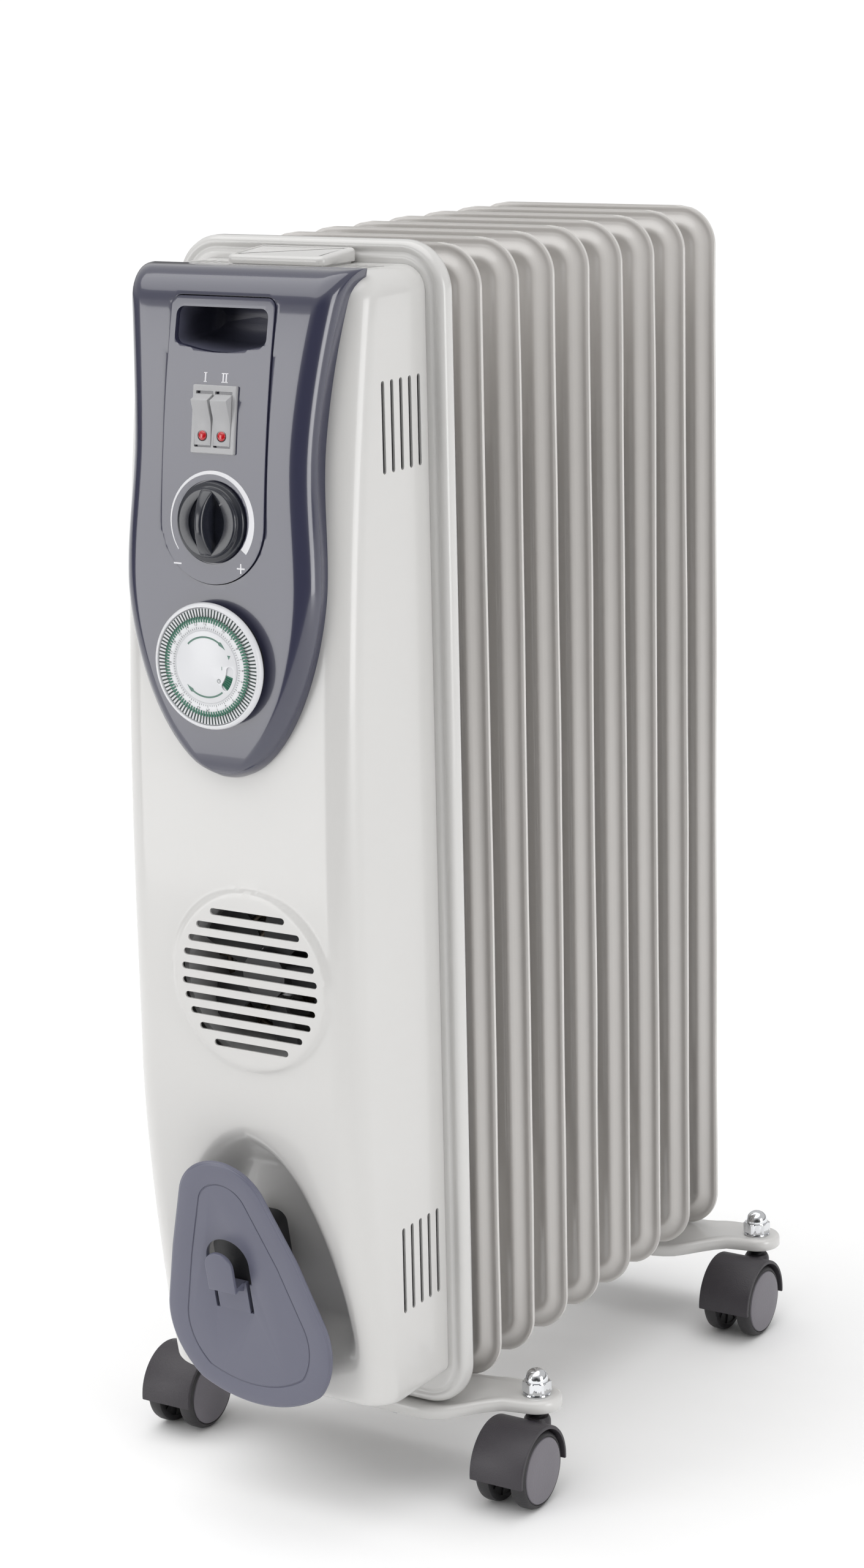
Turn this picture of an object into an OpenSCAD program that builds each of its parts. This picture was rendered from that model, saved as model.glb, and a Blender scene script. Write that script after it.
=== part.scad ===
// Oil filled radiator heater with fins, casters, fan outlet, timer and cord winder.
// Millimetres. +Z up, front (controls) faces -Y, floor at Z = 0.
// The origin is on the floor under the middle of the whole heater.

/* [Radiator] */
// Width of a fin across X
fin_width = 149.5; // [146:0.5:152]
// Distance from one fin to the next
fin_pitch = 35.1; // [33.5:0.1:36]
// Height of the fins' lower edge above the floor
floor_gap = 49; // [47:0.5:52]
// Height of a fin
fin_height = 580; // [570:1:590]
// Radius of the fins' corners
fin_corner = 21; // [16:1:26]

/* [Control box] */
// Half of the control box width
box_half = 66; // [62:1:68]
// Wall thickness of the control box
box_wall = 2.4; // [2:0.1:3]
// Radius of the upright front edges of the box
box_edge = 13.5; // [10:0.5:16]
// Radius of the round fan outlet
grille_radius = 45; // [42:1:46]

/* [Controls] */
// Radius of the thermostat knob
knob_radius = 18.8; // [16:0.2:20]
// Height of the thermostat knob's grip bar above the panel
knob_height = 13.5; // [11:0.5:16]
// Outer radius of the timer
timer_radius = 31; // [29:0.5:32]
// Depth of the finger recess
handle_depth = 30; // [24:1:32]

/* [Feet] */
// Distance from the middle to a caster's swivel axis
caster_half = 101.5; // [98:0.5:106]
// Radius of a caster wheel
wheel_radius = 20; // [18:0.5:20.5]
// Distance from the swivel axis to the wheel axle
caster_trail = 20; // [16:0.5:21]

/* [Hidden] */
$fn = 48;
stack_y = -94.5;
fin_top = floor_gap + fin_height;
fin_rim = 1.6;
fin_mid = floor_gap + fin_height / 2;
first_fin = 3.5;
header_r = 23;
header_in = 18;
header_front = 1;
header_back = 8 * fin_pitch + 7;
header_hi = fin_top - 62;
header_lo = floor_gap + 62;
plate_front = -2;
box_bottom = 65;
box_top = 622;
grille_x = 8;
grille_z = 285.4;
knob_z = 508.7;
insert_rise = 0.8;
timer_z = 441.8;
timer_y = 89.5;
switch_z = 555.8;
handle_z = 597.5;
winder_tilt = 11.3;
winder_z = 130;
winder_y = -87.5;
clip_x = -4.5;
front_pivot = 25.5;
rear_pivot = 278;
foot_top = 51.5;
foot_low = 42.4;
axle_z = wheel_radius;
steel = [0.80, 0.79, 0.78];
shade = [0.72, 0.71, 0.69];
slate = [0.42, 0.42, 0.49];
dark = [0.16, 0.16, 0.19];
chrome = [0.85, 0.85, 0.87];
white = [0.93, 0.94, 0.94];

// Everything is drawn from the first fin's plane and moved here to its final place.
module stack() {
    translate([0, stack_y, 0]) children();
}

// Distance of the box's front surface from the first fin's plane, by height.
function box_depth(z) =
    z < 230 ? 80.8 - 22 * pow((230 - z) / 170, 1.6)
    : z > 290 ? 80.8 - 24.3 * pow((z - 290) / 320, 2.36)
    : 80.8;

// The same for the slate panel that stands in front of the box.
function panel_depth(z) = 89.3 - 18 * pow(abs(z - 440) / 170, 2.2);

// Half width of the slate panel, by height.
function panel_half(z) =
    z < 480 ? 53.9 * sqrt(max(0.0004, 1 - pow((480 - z) / 95, 1.75)))
    : z < 540 ? 52.3 + 1.6 * cos(180 * (z - 480) / 60)
    : 50.7 + 9.5 * pow((z - 540) / 85, 1.6);

// How far a rounded edge of radius r has drawn in at distance d from the edge.
function draw_in(d, r) = d >= r ? 0 : r - sqrt(max(0, r * r - (r - d) * (r - d)));

// One level of an upright shell: flat back, two rounded front edges.
function level_points(w, d, r, z, back) = concat(
    [[w, back, z]],
    [for (i = [0:6]) [w - r + r * cos(15 * i), -(d - r + r * sin(15 * i)), z]],
    [for (i = [0:6]) [-(w - r) - r * sin(15 * i), -(d - r + r * cos(15 * i)), z]],
    [[-w, back, z]]
);

// A closed solid through a list of levels with 16 points each.
module lofted(levels) {
    n = 16;
    m = len(levels);
    points = [for (l = levels) for (p = l) p];
    sides = [
        for (k = [0:m - 2]) for (i = [0:n - 1]) for (t = [0, 1])
            let (j = (i + 1) % n, a = k * n, b = (k + 1) * n)
            t == 0 ? [a + i, a + j, b + j] : [a + i, b + j, b + i]
    ];
    low = [for (i = [1:n - 2]) [0, i + 1, i]];
    high = [for (i = [1:n - 2]) [(m - 1) * n, (m - 1) * n + i, (m - 1) * n + i + 1]];
    polyhedron(points = points, faces = concat(sides, low, high), convexity = 4);
}

// Heights used by the box: close together at both rounded ends.
function box_heights(lo, hi) = concat(
    [for (t = [0, 0.6, 1.8, 3.6, 6]) lo + t],
    [for (i = [1:24]) lo + 6 + (hi - lo - 18) * i / 25],
    [for (t = [12, 8.4, 5.4, 3, 1.2, 0.3, 0]) hi - t]
);

// The box body, drawn in by a wall thickness for its inside.
module box_solid(inset, back) {
    lo = box_bottom + inset;
    hi = box_top - inset;
    lofted([
        for (z = box_heights(lo, hi))
            let (c = max(draw_in(hi - z, 12), draw_in(z - lo, 6)))
            level_points(box_half - inset - c, box_depth(z) - inset - c,
                max(2, box_edge - inset - c * 0.5), z, back)
    ]);
}

// The slate panel's outer form; inset draws in its front and its outline.
module panel_solid(inset) {
    lo = 385.5 + inset;
    hi = 623.6 - inset;
    lofted([
        for (z = concat([for (t = [0, 0.5, 1.4, 3, 5.5, 9]) lo + t],
                [for (i = [1:26]) lo + 9 + (hi - lo - 21) * i / 27],
                [for (t = [12, 9, 6, 3.6, 1.8, 0.7, 0.1, 0]) hi - t]))
            let (w = max(1.2, panel_half(z) - inset),
                 c = draw_in(hi - z, 15) + draw_in(z - lo, 9) * 0.9)
            level_points(w, panel_depth(z) - inset - c, min(9, w * 0.9), z, -35)
    ]);
}

// Rounded upright rectangle in the X-Z plane, grown forward (towards -Y) from y0.
module slab(w, h, r, y0, thick, z0) {
    translate([0, y0, z0 + h / 2]) rotate([90, 0, 0]) linear_extrude(thick)
        offset(r) square([w - 2 * r, h - 2 * r], center = true);
}

// Bar that stands out from a wall: round ends, along X.
module slot_x(cx, z, half, h, y0, y1) {
    hull() {
        for (s = [-1, 1])
            translate([cx + s * (half - h / 2), y0, z]) rotate([90, 0, 0])
                cylinder(d = h, h = y0 - y1, $fn = 10);
    }
}

// One fin: pressed skins welded at the rim, a ridge around, oil ribs, two header openings.
module fin(k) {
    y = k == 1 ? first_fin : (k - 1) * fin_pitch;
    w = fin_width / 2 - 9;
    h = fin_height / 2 - 9;
    c = fin_corner - 7;
    color(shade) stack() translate([0, y, fin_mid]) difference() {
        union() {
            rotate([90, 0, 0]) linear_extrude(fin_rim, center = true)
                offset(fin_corner)
                square([fin_width - 2 * fin_corner, fin_height - 2 * fin_corner], center = true);
            for (s = [-1, 1]) {
                translate([s * w, 0, 0]) cylinder(r = 3.6, h = 2 * (h - c), center = true);
                translate([0, 0, s * h]) rotate([0, 90, 0])
                    cylinder(r = 3.6, h = 2 * (w - c), center = true);
            }
            for (q = [0:3]) rotate([0, 90 * q, 0])
                translate([q % 2 == 0 ? w - c : h - c, 0, q % 2 == 0 ? h - c : w - c])
                rotate([90, 0, 0]) rotate_extrude(angle = 90) translate([c, 0]) circle(3.6);
            for (s = [-1, 0, 1])
                translate([s * 30, 0, 0]) cylinder(r = 6.5, h = fin_height - 150, center = true);
        }
        for (z = [header_hi, header_lo]) translate([0, 0, z - fin_mid])
            rotate([90, 0, 0]) cylinder(r = header_r + 0.05, h = 20, center = true);
        // the first fin's front is flat, to sit behind the back plate
        if (k == 1) translate([-100, -22.5, -300]) cube([200, 20, 600]);
    }
}

// The two oil headers: tubes through all fins, closed at the back.
module oil_headers() {
    color(shade) stack() for (z = [header_hi, header_lo])
        translate([0, header_front, z]) rotate([-90, 0, 0]) difference() {
            cylinder(r = header_r, h = header_back - header_front);
            translate([0, 0, z == header_lo ? -1 : 2])
                cylinder(r = header_in, h = header_back - header_front - 2);
        }
}

// U-shaped sheathed element in the lower header, with its flange in the control box.
module heating_element() {
    color(chrome) stack() translate([0, 0, header_lo]) {
        rotate([90, 0, 0]) translate([0, 0, -1]) cylinder(r = 22, h = 4);
        rotate([90, 0, 0]) translate([0, 0, 3]) cylinder(r = 12, h = 6, $fn = 6);
        for (s = [-1, 1]) translate([s * 8, 250, 0]) rotate([90, 0, 0]) cylinder(r = 4, h = 266);
        translate([0, 250, 0]) rotate_extrude(angle = 180) translate([8, 0]) circle(4);
    }
}

// Threaded plug that closes the oil filling hole at the back.
module oil_filler_plug() {
    color(chrome) stack() translate([0, header_back, header_hi]) rotate([-90, 0, 0]) {
        cylinder(r = 12, h = 2.5);
        translate([0, 0, 2.5]) cylinder(r = 8.5, h = 5.5, $fn = 6);
    }
}

// Pressed plate that carries the control box, with a rim around the first fin.
module back_plate() {
    w = fin_width + 3.5;
    h = fin_height + 6.5;
    color(steel) stack() translate([0, 0, floor_gap - 2.5]) difference() {
        union() {
            slab(w, h, 24, 5, 7, 0);
            translate([0, 0, 0]) difference() {
                slab(w, h, 24, plate_front, 1.2, 0);
                translate([0, 0, 4]) slab(w - 8, h - 8, 20, plate_front + 1, 4, 0);
            }
        }
        translate([0, 0, 1.6]) slab(w - 3.2, h - 3.2, 22.4, 6, 6.2, 0);
        translate([0, 1, header_lo - floor_gap + 2.5]) rotate([90, 0, 0]) cylinder(r = 24, h = 8);
        translate([-20, -6, 330]) cube([40, 8, 60]);
    }
}

// Outline of the hollow behind the winder plate, at its mouth or at its floor.
module recess_outline(mouth) {
    r = mouth ? 22 : 14;
    w = mouth ? 57 : 47;
    hull() {
        translate([0, mouth ? 53 : 40]) circle(r);
        for (s = [-1, 1]) for (z = [-34, -6]) translate([s * (w - 5), z]) circle(5);
    }
}

// Frame of the winder: leans forward at the top like the lower front of the box.
module winder_frame() {
    translate([0, winder_y, winder_z]) rotate([winder_tilt, 0, 0]) children();
}

// The hollow itself; grow makes the solid that its wall is left from.
module recess(grow) {
    winder_frame() hull() {
        translate([0, 0, 0]) rotate([90, 0, 0]) linear_extrude(1) offset(grow) recess_outline(true);
        translate([0, 34 + grow, 0]) rotate([90, 0, 0]) linear_extrude(1)
            offset(grow) recess_outline(false);
    }
}

// Painted steel control box, open towards the back plate.
module control_box() {
    color(steel) stack() difference() {
        union() {
            difference() {
                box_solid(0, plate_front);
                box_solid(box_wall, plate_front + 4);
            }
            intersection() {
                box_solid(0, plate_front);
                recess(2.2);
            }
            intersection() {
                difference() {
                    box_solid(-1.2, plate_front);
                    box_solid(box_wall, plate_front);
                }
                translate([grille_x, -40, grille_z]) rotate([90, 0, 0])
                    cylinder(r = grille_radius, h = 60, $fn = 72);
            }
        }
        recess(0);
        // round outlet: ten level slots
        for (i = [0:9])
            let (dz = (4.5 - i) * 7.31)
            slot_x(grille_x, grille_z + dz, sqrt(39.4 * 39.4 - dz * dz), 3.4, -60, -95);
        // upright vents low and high on both sides
        for (s = [-1, 1]) for (zc = [140, 552]) for (i = [0:4])
            hull() for (e = [-1, 1])
                translate([s * (box_half - 6), -47 + i * 7.75, zc + e * 21.4])
                rotate([0, s * 90, 0]) cylinder(d = 1.9, h = 12, $fn = 8);
        // slanted vents in the top, either side of the pad
        for (s = [-1, 1]) for (i = [0:3])
            hull() for (e = [0, 1])
                translate([s * (36 + 5.5 * i) + 1 - e * 3, -18 - e * 9, box_top - 6])
                cylinder(d = 1.9, h = 12, $fn = 8);
        // openings behind the slate panel for the controls
        translate([-42, -100, 476]) cube([84, 55, 134]);
        translate([0, -45, timer_z]) rotate([90, 0, 0]) cylinder(r = 29.5, h = 55, $fn = 72);
        // hole for the cord gland in the underside
        translate([38, -30, box_bottom - 2]) cylinder(r = 6.6, h = 6, $fn = 36);
        // feet of the winder post
        winder_frame() for (s = [-1, 1])
            translate([s * 14, 40, -2]) rotate([90, 0, 0]) cylinder(r = 2.1, h = 12, $fn = 16);
    }
}

// Stadium-shaped area in the upper panel that holds the handle, switches and knob.
module insert_prism(grow) {
    translate([0, -40, 0]) rotate([90, 0, 0]) linear_extrude(60) hull() {
        translate([0, knob_z]) circle(29 + grow, $fn = 64);
        for (s = [-1, 1]) translate([s * 24, 606.5]) circle(5 + grow, $fn = 24);
    }
}

// Slate plastic panel over the upper front of the box.
module control_panel() {
    color(slate) stack() difference() {
        panel_solid(0);
        intersection() {
            panel_solid(2.6);
            translate([-80, -120, 380]) cube([160, 88, 250]);
        }
        box_solid(-0.05, plate_front);
        insert_prism(0.25);
        translate([0, -40, timer_z]) rotate([90, 0, 0]) cylinder(r = 28, h = 70, $fn = 72);
        for (s = [-1, 1]) for (z = [410, 480, 560, 600])
            hull() for (e = [0, 1])
                translate([s * 47, -40 - e, z]) rotate([90, 0, 0]) cylinder(r = 1, h = 10, $fn = 8);
    }
}

// Finger opening: straight top, lower edge that swells downward.
module handle_outline(grow) {
    hull() {
        for (s = [-1, 1]) for (z = [0, 1])
            translate([s * 21.7, handle_z - 4.5 + 9.5 * z]) circle(4 + grow, $fn = 20);
        translate([0, handle_z - 7]) circle(4.6 + grow, $fn = 20);
    }
}

// Insert that stands proud of the panel, with the openings for handle and switches
// and a shallow well around the thermostat knob.
module panel_insert() {
    color(slate) stack() difference() {
        intersection() {
            insert_prism(0);
            panel_solid(-insert_rise);
        }
        panel_solid(3.3);
        translate([-70, -50, 380]) cube([140, 40, 260]);
        translate([0, -40, 0]) rotate([90, 0, 0]) linear_extrude(60) handle_outline(0);
        translate([-11.3, -95, switch_z - 15.3]) cube([22.6, 40, 30.2]);
        switch_frame() slab(24.6, 31.8, 1, 0, 6, -15.9);
        knob_frame() rotate([90, 0, 0]) cylinder(r = knob_radius + 0.8, h = 6);
        translate([0, -60, knob_z]) rotate([90, 0, 0]) cylinder(r = 6, h = 40, $fn = 36);
    }
}

// Cup behind the finger opening.
module handle_cup() {
    color(slate) stack() intersection() {
        difference() {
            translate([0, -70 + handle_depth, 0]) rotate([90, 0, 0])
                linear_extrude(handle_depth + 12) handle_outline(2);
            translate([0, -72 + handle_depth, 0]) rotate([90, 0, 0])
                linear_extrude(handle_depth + 30) handle_outline(0);
        }
        panel_solid(3.35);
    }
}

// Frame of the two rocker switches, square to the panel where it leans back.
module switch_frame() {
    translate([0, -81.46, switch_z]) rotate([-8, 0, 0]) children();
}

module switch_bezel() {
    color([0.72, 0.72, 0.73]) stack() switch_frame() difference() {
        slab(24.5, 31.7, 1, 0, 2.4, -15.85);
        for (s = [-1, 1]) translate([s * 5.3 - 4.8, -4, -13]) cube([9.6, 6, 26]);
    }
}

module switch_body() {
    color(dark) stack() switch_frame() difference() {
        translate([-11, 0.05, -14.4]) cube([22, 21, 28.8]);
        for (s = [-1, 1]) translate([s * 5.3 - 4.9, -1, -13.2]) cube([9.8, 19, 26.4]);
    }
}

// Rocker i: raised at its upper end, pressed in at its lower end.
module rocker(i) {
    s = i == 1 ? -1 : 1;
    color([0.73, 0.73, 0.74]) stack() switch_frame() difference() {
        translate([s * 5.3 - 4.5, 4, 0]) rotate([90, 0, 90]) linear_extrude(9)
            polygon([[-6.5, 11.2], [-7.8, 10.3], [-9.6, 9.2], [-11.2, 8.4], [-7.9, 0.3],
                [-6.9, -4], [-6.7, -11.2], [0, -11.3], [4, -7], [6.5, -3], [6.5, 3],
                [4, 7], [0, 11.3]]);
        rocker_lens_at(s) translate([0, 0, -0.9]) cylinder(r = 2.3, h = 3);
    }
}

module rocker_lens_at(s) {
    translate([s * 5.3, 4 - 6.75, -7.6]) rotate([90, 0, 0]) rotate([1.6, 0, 0]) children();
}

module lens(i) {
    s = i == 1 ? -1 : 1;
    color([0.8, 0.1, 0.12]) stack() switch_frame() rocker_lens_at(s)
        translate([0, 0, -0.9]) cylinder(r = 2.25, h = 1.5);
}

// Frame of the thermostat: origin on the insert's surface, leaning with it.
module knob_frame() {
    translate([0, -86.3, knob_z]) rotate([-4.6, 0, 0]) children();
}

module thermostat_body() {
    color(dark) stack() knob_frame() difference() {
        union() {
            translate([-18, 8, -17]) cube([36, 24, 34]);
            translate([0, 8, 0]) rotate([90, 0, 0]) cylinder(r = 5, h = 4.6);
        }
        translate([0, 24, 0]) rotate([90, 0, 0]) cylinder(r = 3.06, h = 30);
    }
}

// Knob with a skirt, an arched grip bar between two almond hollows and its spindle.
module thermostat_knob() {
    r = knob_radius - 2.2;
    face = 6.2;
    bow = knob_height - face + 0.2;
    bar_radius = (15.5 * 15.5 + bow * bow) / (2 * bow);
    color(dark) stack() knob_frame() {
        difference() {
            union() {
                translate([0, -0.7, 0]) rotate([90, 0, 0]) cylinder(r = knob_radius, h = 2.7);
                translate([0, -3.4, 0]) rotate([90, 0, 0])
                    cylinder(r1 = r, r2 = r - 0.6, h = face - 3.4);
            }
            for (s = [-1, 1]) translate([0, -2.8, 0]) rotate([90, 0, 0])
                linear_extrude(face) intersection() {
                    translate([-s * 7.8, 0]) circle(17.6);
                    translate([s * 12.2, 0]) square([20, 40], center = true);
                }
        }
        intersection() {
            translate([-2.5, bar_radius - knob_height, 0]) rotate([0, 90, 0])
                cylinder(r = bar_radius, h = 5, $fn = 96);
            translate([0, -2.6, 0]) rotate([90, 0, 0]) cylinder(r = r - 0.8, h = knob_height);
        }
        translate([0, 22, 0]) rotate([90, 0, 0]) cylinder(r = 3, h = 24);
    }
}

module timer_bezel() {
    color(white) stack() translate([0, -timer_y, timer_z]) rotate([90, 0, 0]) difference() {
        union() {
            cylinder(r = timer_radius, h = 4.1);
            translate([0, 0, -14]) cylinder(r = 27.6, h = 14.2);
        }
        translate([0, 0, 0.8]) cylinder(r = timer_radius - 1.7, h = 6);
        translate([0, 0, -15]) cylinder(r = 26, h = 14);
        translate([0, 0, -15]) cylinder(r = 17.5, h = 20);
    }
}

// Turning 24 hour dial between the bezel and the fixed face.
module timer_dial() {
    r = timer_radius - 2.1;
    color(white) stack() translate([0, -timer_y, timer_z]) rotate([90, 0, 0]) difference() {
        union() {
            translate([0, 0, 1.2]) cylinder(r = r, h = 2.2);
            translate([0, 0, 1.2]) cylinder(r = r - 4.6, h = 3);
        }
        translate([0, 0, -1]) cylinder(r = 17.6, h = 8);
        for (i = [0:95]) rotate(3.75 * i)
            translate([r - 4.4, -0.38, 2.2]) cube([3.6, 0.76, 3]);
    }
}

// The 96 segments that are pushed in or out to set the times.
module timer_tappets() {
    r = timer_radius - 2.1;
    color([0.1, 0.3, 0.25]) stack() translate([0, -timer_y, timer_z]) rotate([90, 0, 0])
        for (i = [0:95]) rotate(3.75 * i)
            translate([r - 4.4, -0.33, 2.2]) cube([3.5, 0.66, 2]);
}

// Fixed middle of the timer with a curved slot for the override slide.
module timer_face() {
    color(white) stack() translate([0, -timer_y, timer_z]) rotate([90, 0, 0]) difference() {
        union() {
            cylinder(r = 17.2, h = 4.6);
            translate([0, 0, -10]) cylinder(r = 8, h = 10);
        }
        rotate(-38) rotate_extrude(angle = 34) translate([10.2, 1.6]) square([4.2, 5]);
        for (a = [-38, -4]) rotate(a) translate([12.3, 0, 1.6]) cylinder(r = 2.1, h = 5);
    }
}

module timer_slider() {
    color([0.1, 0.42, 0.3]) stack() translate([0, -timer_y, timer_z]) rotate([90, 0, 0])
        translate([0, 0, 1.9]) {
            rotate(-37) rotate_extrude(angle = 14) translate([10.6, 0]) square([3.4, 2.4]);
            for (a = [-36, -32, -28, -24]) rotate(a)
                translate([10.6, -0.3, 2.3]) cube([3.4, 0.6, 0.8]);
        }
}

module timer_body() {
    color([0.85, 0.85, 0.83]) stack() translate([0, -78.6, timer_z]) rotate([-90, 0, 0])
        difference() {
            cylinder(r = 25.6, h = 26);
            translate([0, 0, -1]) cylinder(r = 8.3, h = 12);
        }
}

// Blank raised pad on the top of the box.
module top_pad() {
    color(steel) stack() difference() {
        translate([2, -17.6, box_top]) {
            linear_extrude(4.2) offset(4) square([47, 23], center = true);
            translate([0, 0, 4.2]) linear_extrude(1) offset(3) square([47, 23], center = true);
        }
        translate([-19, -26, box_top + 4.6]) cube([42, 15, 2]);
    }
}

// Fan behind the round outlet: impeller in front, heater wires around the motor behind.
module fan_shroud() {
    color(dark) stack() translate([grille_x, -30, grille_z]) rotate([90, 0, 0]) {
        difference() {
            cylinder(r = 43, h = 45);
            translate([0, 0, -1]) cylinder(r = 40.5, h = 47);
        }
        for (a = [0:120:240]) rotate(a) translate([15, -2.5, 0]) cube([26, 5, 3]);
    }
}

module fan_motor() {
    color([0.55, 0.55, 0.57]) stack() translate([grille_x, -26, grille_z]) rotate([90, 0, 0])
        difference() {
            cylinder(r = 15, h = 26);
            translate([0, 0, 8]) cylinder(r = 2.06, h = 20);
        }
}

module fan_impeller() {
    color([0.2, 0.2, 0.22]) stack() translate([grille_x, -59, grille_z]) rotate([90, 0, 0]) {
        difference() {
            cylinder(r = 12, h = 11);
            translate([0, 0, -1]) cylinder(r = 10, h = 8);
        }
        translate([0, 0, -21]) cylinder(r = 2, h = 30);
        for (a = [0:4]) rotate(a * 72) translate([11.4, 0, 5.5]) rotate([28, 0, 0])
            linear_extrude(1.4, center = true)
            polygon([[0, -7], [10, -12], [23, -13.5], [26.5, -8], [27.5, 2], [25, 9], [12, 8], [0, 6]]);
    }
}

module fan_heater() {
    color([0.75, 0.6, 0.45]) stack() translate([grille_x, -44, grille_z]) rotate([90, 0, 0]) {
        for (a = [0:60:300]) rotate(a) translate([15.2, -0.5, 0]) cube([25.2, 1, 5.4]);
        for (r = [20, 28, 36]) translate([0, 0, 2.7]) rotate_extrude()
            translate([r, 0]) circle(1.5, $fn = 16);
    }
}

// Post that the cord is wound on, between the hollow's floor and the plate.
module winder_hub() {
    color(slate) stack() winder_frame() difference() {
        slab(36, 38, 12, 34, 32.5, -19);
        slab(30, 32, 9, 35, 28, -16);
    }
}

// Egg-shaped winder plate with a stepped border and an opening for the clip.
module winder_plate() {
    color(slate) stack() winder_frame() difference() {
        translate([0, 1.5, 0]) rotate([90, 0, 0]) {
            linear_extrude(2.4) plate_outline(0);
            translate([0, 0, 2.4]) linear_extrude(0.6) offset(-0.8) plate_outline(0);
        }
        // shallow line that follows the border
        translate([0, -1, 0]) rotate([90, 0, 0]) linear_extrude(1) difference() {
            offset(-11.6) plate_outline(0);
            offset(-12.6) plate_outline(0);
        }
        // opening with an arched top above the room for the clip's tongue
        translate([clip_x, 5, 0]) rotate([90, 0, 0]) linear_extrude(12) {
            translate([0, 14]) circle(12.4);
            translate([-12.4, 3]) square([24.8, 11]);
            translate([-11.1, -13.5]) square([22.2, 17]);
        }
    }
}

module plate_outline(grow) {
    intersection() {
        hull() {
            translate([-2, 43.5]) circle(26.5, $fn = 60);
            translate([0, 7]) circle(38.8, $fn = 72);
            translate([1, -26]) circle(47.8, $fn = 90);
        }
        union() {
            translate([0, -6]) circle(62.8, $fn = 120);
            translate([-50, -6]) square([100, 80]);
        }
    }
}

// Spring clip that holds the end of the cord: tongue, step and raised tab.
module plug_clip() {
    color(slate) stack() winder_frame() translate([clip_x, 0, 0]) {
        translate([-9, -1.3, -13.2]) cube([18, 2.4, 16.9]);
        translate([-8, -9.2, 1.2]) cube([16, 8.4, 2.4]);
        translate([0, -9.2, 1.2]) rotate([90, 0, 0]) linear_extrude(2.2) {
            translate([0, 12.6]) circle(8);
            translate([-8, 0]) square([16, 12.6]);
        }
    }
}

// Bushing for the mains cord in the underside of the box.
module cord_gland() {
    color(dark) stack() translate([38, -30, box_bottom]) difference() {
        union() {
            translate([0, 0, -3]) cylinder(r = 8.5, h = 3);
            translate([0, 0, -3]) cylinder(r = 6.4, h = 14);
        }
        translate([0, 0, -4]) cylinder(r = 3.7, h = 16);
    }
}

module terminal_block() {
    color(white) stack() translate([-50, plate_front - 14, 330]) difference() {
        cube([26, 14, 12]);
        for (i = [0:2]) translate([4.5 + 8.5 * i, 7, -1]) cylinder(r = 1.8, h = 14);
    }
}

module thermal_cutout() {
    color([0.8, 0.8, 0.78]) stack() translate([28, plate_front, 180]) rotate([90, 0, 0]) {
        cylinder(r = 8, h = 8);
        translate([-4, -11, 0]) cube([8, 22, 1.5]);
    }
}

// Pressed foot: strip under two fins and a tapering arm to each caster.
module foot(py) {
    color(steel) stack() translate([0, py, 0]) difference() {
        union() {
            translate([-54, -32, foot_low]) cube([108, 50, 3.8]);
            for (s = [-1, 1]) hull() {
                translate([s * caster_half, 0, foot_top - 5.6]) cylinder(r = 13, h = 5.6);
                translate([s * 53 - 1, -32, foot_low]) cube([2, 50, 3.8]);
            }
        }
        for (s = [-1, 1]) {
            translate([s * caster_half, 0, foot_top - 12]) cylinder(r = 11, h = 10);
            translate([s * caster_half, 0, 40]) cylinder(r = 4.05, h = 20);
            translate([s * 26.4, bolt_dy(py), 40]) cylinder(r = 3.4, h = 20);
        }
    }
}

// The clamp bolts sit midway between two fins, a little off the casters' line.
function bolt_dy(py) = py < 100 ? 19.4 - py : 263.2 - py;

module u_bolts() {
    color(chrome) stack() for (y = [19.4, 263.2]) translate([0, y, header_lo]) {
        rotate([90, 0, 0]) rotate_extrude(angle = 180) translate([26.4, 0]) circle(3);
        for (s = [-1, 1]) translate([s * 26.4, 0, 30 - header_lo])
            cylinder(r = 3, h = header_lo - 30);
    }
}

module wing_nuts() {
    color(chrome) stack() for (y = [19.4, 263.2]) for (s = [-1, 1])
        translate([s * 26.4, y, foot_low - 6]) difference() {
            union() {
                cylinder(r = 6, h = 6);
                for (t = [-1, 1]) translate([0, t * 4, 1]) rotate([t * -25, 0, 0])
                    translate([-1.2, t > 0 ? 0 : -9, -3]) cube([2.4, 9, 6]);
            }
            translate([0, 0, -9]) cylinder(r = 3.02, h = 20);
        }
}

module acorn_nuts() {
    color(chrome) stack() for (y = [front_pivot, rear_pivot]) for (s = [-1, 1])
        translate([s * caster_half, y, foot_top]) difference() {
            union() {
                cylinder(r = 8, h = 1.4);
                translate([0, 0, 1.4]) cylinder(r = 7.4, h = 5.6, $fn = 6);
                translate([0, 0, 6.5]) sphere(5.7);
            }
            translate([0, 0, -1]) cylinder(r = 4, h = 9);
            translate([-9, -9, -9]) cube([18, 18, 9]);
        }
}

module caster_stems() {
    color(chrome) stack() for (y = [front_pivot, rear_pivot]) for (s = [-1, 1])
        translate([s * caster_half, y, 0]) {
            translate([0, 0, 24]) cylinder(r = 4, h = foot_top - 24 + 7.5);
            translate([0, 0, 41.2]) cylinder(r = 5, h = foot_top - 2 - 41.2);
        }
}

// Caster frame at rest: swivel axis at the origin, wheels trailing towards the front.
module caster_at(sx, py) {
    translate([sx * caster_half, py, 0]) children();
}

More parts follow.
